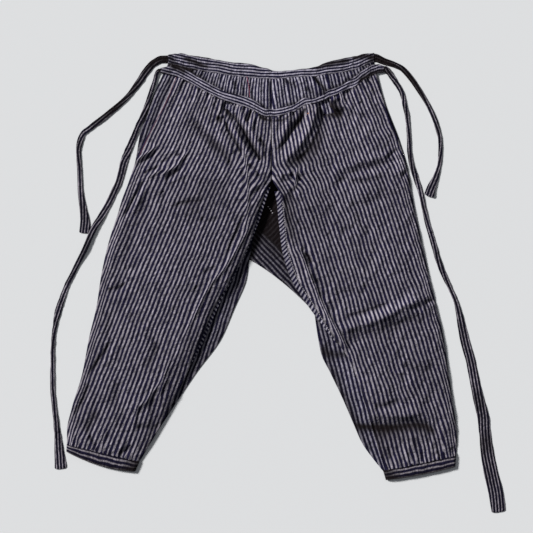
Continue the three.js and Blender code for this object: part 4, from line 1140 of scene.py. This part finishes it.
def flat_tube(around, wide, deep):
    """Offsets over a flattened tube: across its width and up, from a share of the way around."""
    turn = 2 * np.pi * around
    lying = np.sign(np.cos(turn)) * np.abs(np.cos(turn)) ** 0.75
    up = np.sign(np.sin(turn)) * np.abs(np.sin(turn)) ** 0.6
    return lying * wide / 2, (1 + up) * deep / 2


def band_tube(name, band, pitch, first_line, seed, wave, kinked):
    stations = column(band, "x")
    spread = np.abs(np.diff(stations)).sum()

    def place(around, down):
        position = down * (len(band) - 1)
        x = eased(stations, position)
        low = eased(column(band, "low"), position) - 0.8
        high = eased(column(band, "high"), position)
        along = down * spread
        middle = (low + high) / 2 + np.clip(kinked * crumpled(along, along * 0, 34, seed + 9), -1.6, 1)
        wide = high - low
        off, up = flat_tube(around, wide, BAND_DEPTH)
        off += 0.8 * ripple(along, off * 0, 22, seed) * np.sign(off)
        rolled = wave * ripple(along, off * 2, 24, seed + 1) * np.clip(up / BAND_DEPTH, 0, 1)
        groove = -0.5 * np.exp(-((off / wide + 0.02) / 0.08) ** 2) * np.clip(up / BAND_DEPTH, 0, 1)
        z = eased(column(band, "lift"), position) + up + np.maximum(rolled, -1.0) + groove
        lines = (off + wide / 2) / pitch + first_line + 0.1 * ripple(along, off, 30, seed + 2)
        thread = np.stack([lines * STRIPE, along], axis=1)
        # painted shade, darker at the band's turned edges and over one half of its width
        shade = 0.7 * np.abs(2 * off / wide) ** 6 + 0.18 * np.clip(-2 * off / wide, 0, 1)
        shade = 1 - (1 - shade) * (1 - shaded(BAND_SHADOWS, x, middle + off))
        return np.stack([x, middle + off, z], axis=1), thread, np.clip(shade, 0, 0.9)

    return lay_cloth(name, (40, 260), place, closed=True)


band_cotton = cotton("band_cotton", (0.0066, 0.0056, 0.026), (0.345, 0.325, 0.405))
back_band = band_tube("back_waistband_cloth", BACK_BAND, 6.1, 0.05, 81, 1.3, 0.6)
thicken(back_band, BAND_WALL)
dress(back_band, band_cotton, "back_waistband", "band_cloth", (0.058, 0.435), 0.0225,
      ["table_top"])
front_band = band_tube("front_waistband_cloth", FRONT_BAND, 6.2, 0.0, 91, 1.1, 1.2)
thicken(front_band, BAND_WALL)
dress(front_band, band_cotton, "front_waistband", "band_cloth", (0.04, 0.51), 0.0182,
      ["back_leg_cloth_right", "back_leg_cloth_left"])

# ---------------------------------------------------------------------------------------------
# Cuffs. Each is a strip cut along the stripes, sewn into a ring over the gathered end of a leg
# and pressed flat, with its fold as the lower edge.

Cuff = namedtuple("Cuff", "side leg low_side low_inseam bow")
CUFFS = [
    Cuff("right", BACK_RIGHT, (-445, -354), (-300, -396), 9),
    Cuff("left", BACK_LEFT, (373, -386), (227, -414), 3),
]
CUFF_HEIGHT = 7.4
CUFF_WALL = 1.2
CUFF_FLATNESS = 2.5


def cuff_ring(cuff):
    top_side, top_inseam = cuff.leg[-1].side, cuff.leg[-1].inseam
    half = np.hypot(*np.subtract(top_inseam, top_side)) / 2

    def place(around, down):
        turn = 2 * np.pi * around
        across = (1 + np.cos(turn)) / 2
        top = np.array(top_side) + np.subtract(top_inseam, top_side) * across[:, None]
        low = np.array(cuff.low_side) + np.subtract(cuff.low_inseam, cuff.low_side) * across[:, None]
        top[:, 1] += 0.8
        low[:, 1] -= cuff.bow * bowed(across)
        plan = top + (low - top) * down[:, None]
        flat = np.clip(CUFF_FLATNESS * np.sin(turn), -1, 1)
        along = across * 2 * half
        upper = np.clip(flat, 0, 1)
        dent = (0.5 * ripple(along, down * 8, 20, 101 + cuff.bow) - 0.5 * down ** 3
                - 0.5 * (1 - down) ** 4) * upper
        z = CUFF_HEIGHT / 2 + flat * CUFF_HEIGHT / 2 + dent
        lines = down * 2.7 - 0.08 + 0.08 * ripple(along, down * 20, 25, 111)
        thread = np.stack([lines * STRIPE, along], axis=1)
        # painted shade, darker at the cuff's lower fold, its top and its inseam end
        shade = 0.2 + 0.66 * down ** 3 + 0.5 * (1 - down) ** 8 + 0.5 * fade((across - 0.72) / 0.25)
        return np.column_stack([plan, z]), thread, np.clip(shade, 0, 0.9)

    return lay_cloth(f"cuff_cloth_{cuff.side}", (160, 16), place, closed=True)


cuff_cotton = cotton("cuff_cotton", NAVY, (0.29, 0.265, 0.3), grey_share=0.34)
for cuff in CUFFS:
    ring = cuff_ring(cuff)
    thicken(ring, CUFF_WALL)
    dress(ring, cuff_cotton, f"cuff_{cuff.side}", "cuff_cloth", (0.314, 0.0235), None,
          [f"back_leg_cloth_{cuff.side}"])

# ---------------------------------------------------------------------------------------------
# Ties. Four narrow strips of cotton folded double into flat strings, mostly navy, each sewn to one
# end of a band and lying loosely beside the legs to its free, spread end.

Bend = namedtuple("Bend", "at wide lift")
TIES = {
    "back_tie_right": [
        Bend((-231.3, 471), 16, 0), Bend((-244, 471), 16, 0), Bend((-260, 464), 15, 0),
        Bend((-280, 442), 15, 0), Bend((-294, 420), 14, 0), Bend((-310, 400), 11, 0),
        Bend((-326, 383), 10.5, 0), Bend((-351, 361), 12, 0), Bend((-376, 341), 13, 0),
        Bend((-395, 327), 11.5, 0), Bend((-409, 316), 11, 0), Bend((-416, 299), 13, 0),
        Bend((-420, 275), 10, 0), Bend((-418, 247), 10, 0), Bend((-416, 200), 11, 0),
        Bend((-410, 156), 15.5, 0), Bend((-406, 127), 21, 0), Bend((-407, 105), 24, 0),
    ],
    "front_tie_right": [
        Bend((-247.3, 447), 8, 1.6), Bend((-249.5, 447), 8, 1.6), Bend((-254, 443), 8, 1.6),
        Bend((-257.5, 431), 8, 1), Bend((-265.5, 406), 9, 1.4), Bend((-274.5, 378), 9.5, 1.6),
        Bend((-285, 350), 11, 1.6), Bend((-296, 326), 11.5, 0.8), Bend((-306, 301), 13, 0),
        Bend((-317, 274), 15, 0), Bend((-323, 257), 16, 0), Bend((-332, 221), 15, 0),
        Bend((-348, 184), 14, 0), Bend((-368, 146), 14, 0.5), Bend((-387, 115), 13, 2.3),
        Bend((-405, 74), 11.5, 2.3), Bend((-428, 28), 10, 0), Bend((-443, -2), 10.5, 0),
        Bend((-454, -32), 12, 0), Bend((-462, -57), 14, 0), Bend((-468, -83), 10, 0),
        Bend((-472, -110), 8, 0), Bend((-474, -147), 8.5, 0), Bend((-474.5, -205), 9.7, 0),
        Bend((-470, -268), 10, 0), Bend((-465, -308), 12.5, 0), Bend((-461, -348), 19, 0),
        Bend((-457, -391), 26, 0),
    ],
    "back_tie_left": [
        Bend((202.3, 474), 18, 0), Bend((207, 474), 17, 0), Bend((226, 466), 14, 0),
        Bend((247, 459), 12, 0), Bend((259, 453), 11.5, 0), Bend((279, 432), 11, 0),
        Bend((295, 409), 10.5, 0), Bend((311, 383), 9, 0), Bend((324, 359), 9.5, 0),
        Bend((334, 332), 10, 0), Bend((341, 305), 8.5, 0), Bend((342, 279), 8.5, 0),
        Bend((340, 252), 8.5, 0), Bend((333, 226), 12, 0), Bend((324, 203), 18, 1.5),
        Bend((317, 183), 22, 2.4),
    ],
    "front_tie_left": [
        Bend((223.3, 450), 13, 1.6), Bend((226, 450), 13, 1.6), Bend((232, 445), 12, 1.6),
        Bend((240, 433), 11, 1), Bend((253, 415), 10, 0), Bend((262, 396), 9.5, 0),
        Bend((267, 375), 9.5, 0), Bend((272, 349), 9.5, 0), Bend((275, 322), 8.5, 0),
        Bend((276, 290), 9, 0), Bend((280, 255), 10, 0), Bend((289, 225), 11.5, 0),
        Bend((299, 196), 10.5, 0), Bend((307, 158), 9.5, 0), Bend((319, 111), 10.5, 0),
        Bend((328, 81), 11.5, 0), Bend((338, 47), 11.5, 0), Bend((353, 9), 10.5, 0),
        Bend((365, -16), 9, 0), Bend((376, -43), 10, 0), Bend((385, -82), 16, 0),
        Bend((395, -126), 19.5, 0), Bend((407, -170), 20, 0), Bend((416, -215), 21, 0),
        Bend((426, -258), 23.5, 0), Bend((433, -287), 25, 0), Bend((436, -316), 24.5, 0),
        Bend((441, -360), 28, 0), Bend((450, -405), 30, 0), Bend((460, -449), 31, 0),
        Bend((465, -482), 29, 0),
    ],
}
TIE_DEPTH = 1.9
TIE_WALL = 0.4
TIE_PITCH = 6.4
TIE_ROUND = 2.15  # how many times its laid width the cloth of a tie is, all round


def tie_tube(name, bends, dark_for, seed):
    line = eased(column(bends, "at"), np.linspace(0, len(bends) - 1, 400))
    length = np.hypot(*np.diff(line, axis=0).T).sum()

    def place(around, down):
        position = down * (len(bends) - 1)
        at = eased(column(bends, "at"), position)
        ahead = eased(column(bends, "at"), np.minimum(len(bends) - 1, position + 0.15))
        behind = eased(column(bends, "at"), np.maximum(0, position - 0.15))
        way = ahead - behind
        heading = np.arctan2(way[:, 1], way[:, 0])
        along = down * length
        wide = eased(column(bends, "wide"), position) * (1 - 0.34 * (1 - fade((length - along) / 9)) ** 2)
        deep = TIE_DEPTH + 0.6 * np.clip((16 - wide) / 6, 0, 1)
        off, up = flat_tube(around, wide, deep)
        top = np.clip(up / deep, 0, 1)
        off += 0.5 * ripple(along, off * 0, 30, seed)
        wrinkle = 0.5 * ripple(along, off * 2, 16, seed + 1) - 0.5 * np.exp(-((off - 1.5) / 1.2) ** 2)
        z = np.maximum(0, eased(column(bends, "lift"), position)) + up + wrinkle * top
        x = at[:, 0] - off * np.sin(heading)
        y = at[:, 1] + off * np.cos(heading)
        lines = off / TIE_PITCH + along / 150 + 0.5 * ripple(along, off * 0, 120, seed + 2)
        thread = np.stack([lines * STRIPE, along], axis=1)
        # painted shade, darker on the side away from the light, in patches where the tie twists, and near
        # the band
        lower = np.clip(-(off * np.cos(heading)) / 6, -1, 1) * np.sign(np.cos(heading))
        shade = 0.22 + 0.32 * ripple(along, off * 0, 60, seed + 3) + 0.2 * lower
        root = 0.5 * (1 - fade(along / 60)) + 0.46 * (1 - fade((along - dark_for + 60) / 120))
        return np.stack([x, y, z], axis=1), thread, np.clip(shade + root, 0, 0.93)

    return lay_cloth(name, (20, max(120, int(length / 2.5))), place, closed=True), length


# how far from the band each tie is painted in deep shade
TIE_DARK = {"back_tie_right": 230, "front_tie_right": 60, "back_tie_left": 150, "front_tie_left": 110}
tie_cotton = cotton("tie_cotton", (0.0045, 0.0036, 0.0135), (0.29, 0.265, 0.31), grey_share=0.25)
for number, (node, bends) in enumerate(TIES.items()):
    tie, length = tie_tube(f"{node}_cloth", bends, TIE_DARK[node], 131 + 7 * number)
    thicken(tie, TIE_WALL)
    wide = float(np.mean(column(bends, "wide")))
    dress(tie, tie_cotton, node, "tie_cloth", (TIE_ROUND * wide * MM, length * MM), None,
          ["table_top"])

# ---------------------------------------------------------------------------------------------
# Sewing threads. Single stitches of grey cotton along three seams, the red edge thread of the loom
# along the slit of the right front panel and down one join inside the back, and an orange-brown
# thread end just below the front band.

STITCH_HIGH = 0.3  # half the thickness of a stitch
THREAD_UP = 0.15  # how far the middle of a thread is above the front panel it is sewn in


def stitch_row(name, path, colour, pitch, length, wide):
    """A row of flattened stitches along points in millimetres, in one mesh."""
    path = np.array(path, float)
    steps = np.concatenate([[0], np.cumsum(np.linalg.norm(np.diff(path, axis=0), axis=1))])
    row = bmesh.new()
    for place in np.arange(pitch / 2, steps[-1], pitch):
        middle = Vector([np.interp(place, steps, path[:, axis]) for axis in range(3)])
        ahead = Vector([np.interp(place + 1, steps, path[:, axis]) for axis in range(3)])
        turn = (ahead - middle).to_track_quat("X", "Z").to_matrix().to_4x4()
        size = Matrix.Diagonal((length / 2 * MM, wide / 2 * MM, STITCH_HIGH * MM, 1))
        bmesh.ops.create_uvsphere(row, u_segments=6, v_segments=4, radius=1,
                                  matrix=Matrix.Translation(middle * MM) @ turn @ size)
    mesh = bpy.data.meshes.new(name)
    row.to_mesh(mesh)
    row.free()
    mesh.shade_smooth()
    stitches = bpy.data.objects.new(name, mesh)
    bpy.context.scene.collection.objects.link(stitches)
    thread = bpy.data.materials.new(name)
    thread.use_nodes = True
    nodes, links = thread.node_tree.nodes, thread.node_tree.links
    place = nodes.new("ShaderNodeTexCoord")
    fibre = nodes.new("ShaderNodeTexNoise")
    fibre.inputs["Scale"].default_value = 900
    tones = nodes.new("ShaderNodeValToRGB")
    tones.color_ramp.elements[0].color = (*(0.6 * tone for tone in colour), 1)
    tones.color_ramp.elements[1].color = (*(1.3 * tone for tone in colour), 1)
    links.new(place.outputs["Object"], fibre.inputs["Vector"])
    links.new(fibre.outputs["Fac"], tones.inputs["Fac"])
    links.new(tones.outputs["Color"], nodes["Principled BSDF"].inputs["Base Color"])
    nodes["Principled BSDF"].inputs["Roughness"].default_value = 0.8
    mesh.materials.append(thread)
    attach(stitches, "root")


def front_line(cut, across, first, last, count=40):
    """Points just above the upper face of a front panel, at one share across."""
    down = np.linspace(first, last, count)
    plan, z, _, _, _ = front_surface(cut, np.full(count, across), down)
    return np.column_stack([plan, z + THREAD_UP])


def strip_line(sections, inside, first, last, count=120):
    """Points over a front panel's inseam edge, a given distance inside it towards the strip."""
    down = np.linspace(first, last, count)
    edge, lift = eased(column(sections, "inseam"), down), eased(column(sections, "lift"), down)
    return np.column_stack([edge[:, 0] + inside, edge[:, 1], FRONT_FLOOR + CLOTH + lift - 0.3])


stitch_row("front_seam_stitches", front_line(FRONT_CUTS["left"], 0.99, 0.15, 1.7, 60),
           (0.3, 0.28, 0.33), pitch=3.3, length=1.8, wide=1.6)
stitch_row("slit_edge_red_thread", front_line(FRONT_CUTS["right"], 0.014, 0.1, 2.95),
           (0.085, 0.014, 0.032), pitch=3.0, length=3.4, wide=2.0)
stitch_row("strip_seam_stitches", strip_line(FRONT_LEFT, -1.0, 4.2, 9.0), (0.34, 0.32, 0.36),
           pitch=4.6, length=2.8, wide=1.9)
stitch_row("gusset_top_stitches", [(-22, 163, 2.6), (-15, 154, 2.6), (-8.5, 143, 2.6)],
           (0.3, 0.28, 0.31), pitch=5.4, length=2.6, wide=3.6)
stitch_row("thread_knot", [(62, 355, 12.4), (67, 357.5, 13.2), (72, 361, 13.4)], (0.33, 0.13, 0.07),
           pitch=5.0, length=6.0, wide=3.2)
open_back = ripple(np.linspace(0, 42, 20), np.zeros(20), 18, 5)
stitch_row("back_join_red_thread",
           [(-66 + 7 * share ** 0.6 + 0.7 * wander, 434 - 43 * share, 7.2)
            for share, wander in zip(np.linspace(0, 1, 20), open_back)],
           (0.26, 0.03, 0.07), pitch=3.4, length=3.2, wide=1.7)

# ---------------------------------------------------------------------------------------------
# Table top, light and camera. The garment lies on a plain pale table under a soft light from
# the upper left, seen from straight above.

TABLE = 40.0
TABLE_PAINT = (0.72, 0.735, 0.76)
CAMERA_PLACE = (-0.024, 0.035, 2.65)
LENS = 85.0
ROOM_COLOUR = (0.93, 0.96, 1.0)
ROOM_LIGHT = 0.17  # of the room, on everything in it
WALL_GLOW = 0.62  # added to that only where the camera looks straight at the room
WINDOW_LIGHT = 5.5
WINDOW_SPREAD = 11  # degrees, which sets how soft its shadows are
WINDOW_COLOUR = (1.0, 0.985, 0.955)
WINDOW_WAY = (0.8, -0.44, -0.5)  # the way in which its light goes

table_mesh = bpy.data.meshes.new("table_top")
table_grid = bmesh.new()
bmesh.ops.create_grid(table_grid, x_segments=1, y_segments=1, size=TABLE / 2)
table_grid.to_mesh(table_mesh)
table_grid.free()
table_top = bpy.data.objects.new("table_top", table_mesh)
bpy.context.scene.collection.objects.link(table_top)
paint = bpy.data.materials.new("pale_paint")
paint.use_nodes = True
paint_nodes = paint.node_tree.nodes
paint_nodes["Principled BSDF"].inputs["Base Color"].default_value = (*TABLE_PAINT, 1)
paint_nodes["Principled BSDF"].inputs["Roughness"].default_value = 0.9
table_mesh.materials.append(paint)

world = bpy.data.worlds.new("room")
bpy.context.scene.world = world
world.use_nodes = True
world.node_tree.nodes["Background"].inputs["Color"].default_value = (*ROOM_COLOUR, 1)
looked_at = world.node_tree.nodes.new("ShaderNodeLightPath")
glow = world.node_tree.nodes.new("ShaderNodeMath")
glow.operation = "MULTIPLY_ADD"
glow.inputs[1].default_value = WALL_GLOW
glow.inputs[2].default_value = ROOM_LIGHT
world.node_tree.links.new(looked_at.outputs["Is Camera Ray"], glow.inputs[0])
world.node_tree.links.new(glow.outputs[0], world.node_tree.nodes["Background"].inputs["Strength"])

sun = bpy.data.lights.new("window_light", "SUN")
sun.energy = WINDOW_LIGHT
sun.angle = math.radians(WINDOW_SPREAD)
sun.color = WINDOW_COLOUR
window = bpy.data.objects.new("window_light", sun)
window.rotation_euler = Vector(WINDOW_WAY).to_track_quat("-Z", "Y").to_euler()
bpy.context.scene.collection.objects.link(window)

camera_data = bpy.data.cameras.new("camera")
camera_data.lens = LENS
camera_data.clip_end = 50
camera = bpy.data.objects.new("camera", camera_data)
camera.location = CAMERA_PLACE
bpy.context.scene.collection.objects.link(camera)
bpy.context.scene.camera = camera
bpy.context.scene.view_settings.view_transform = "Standard"
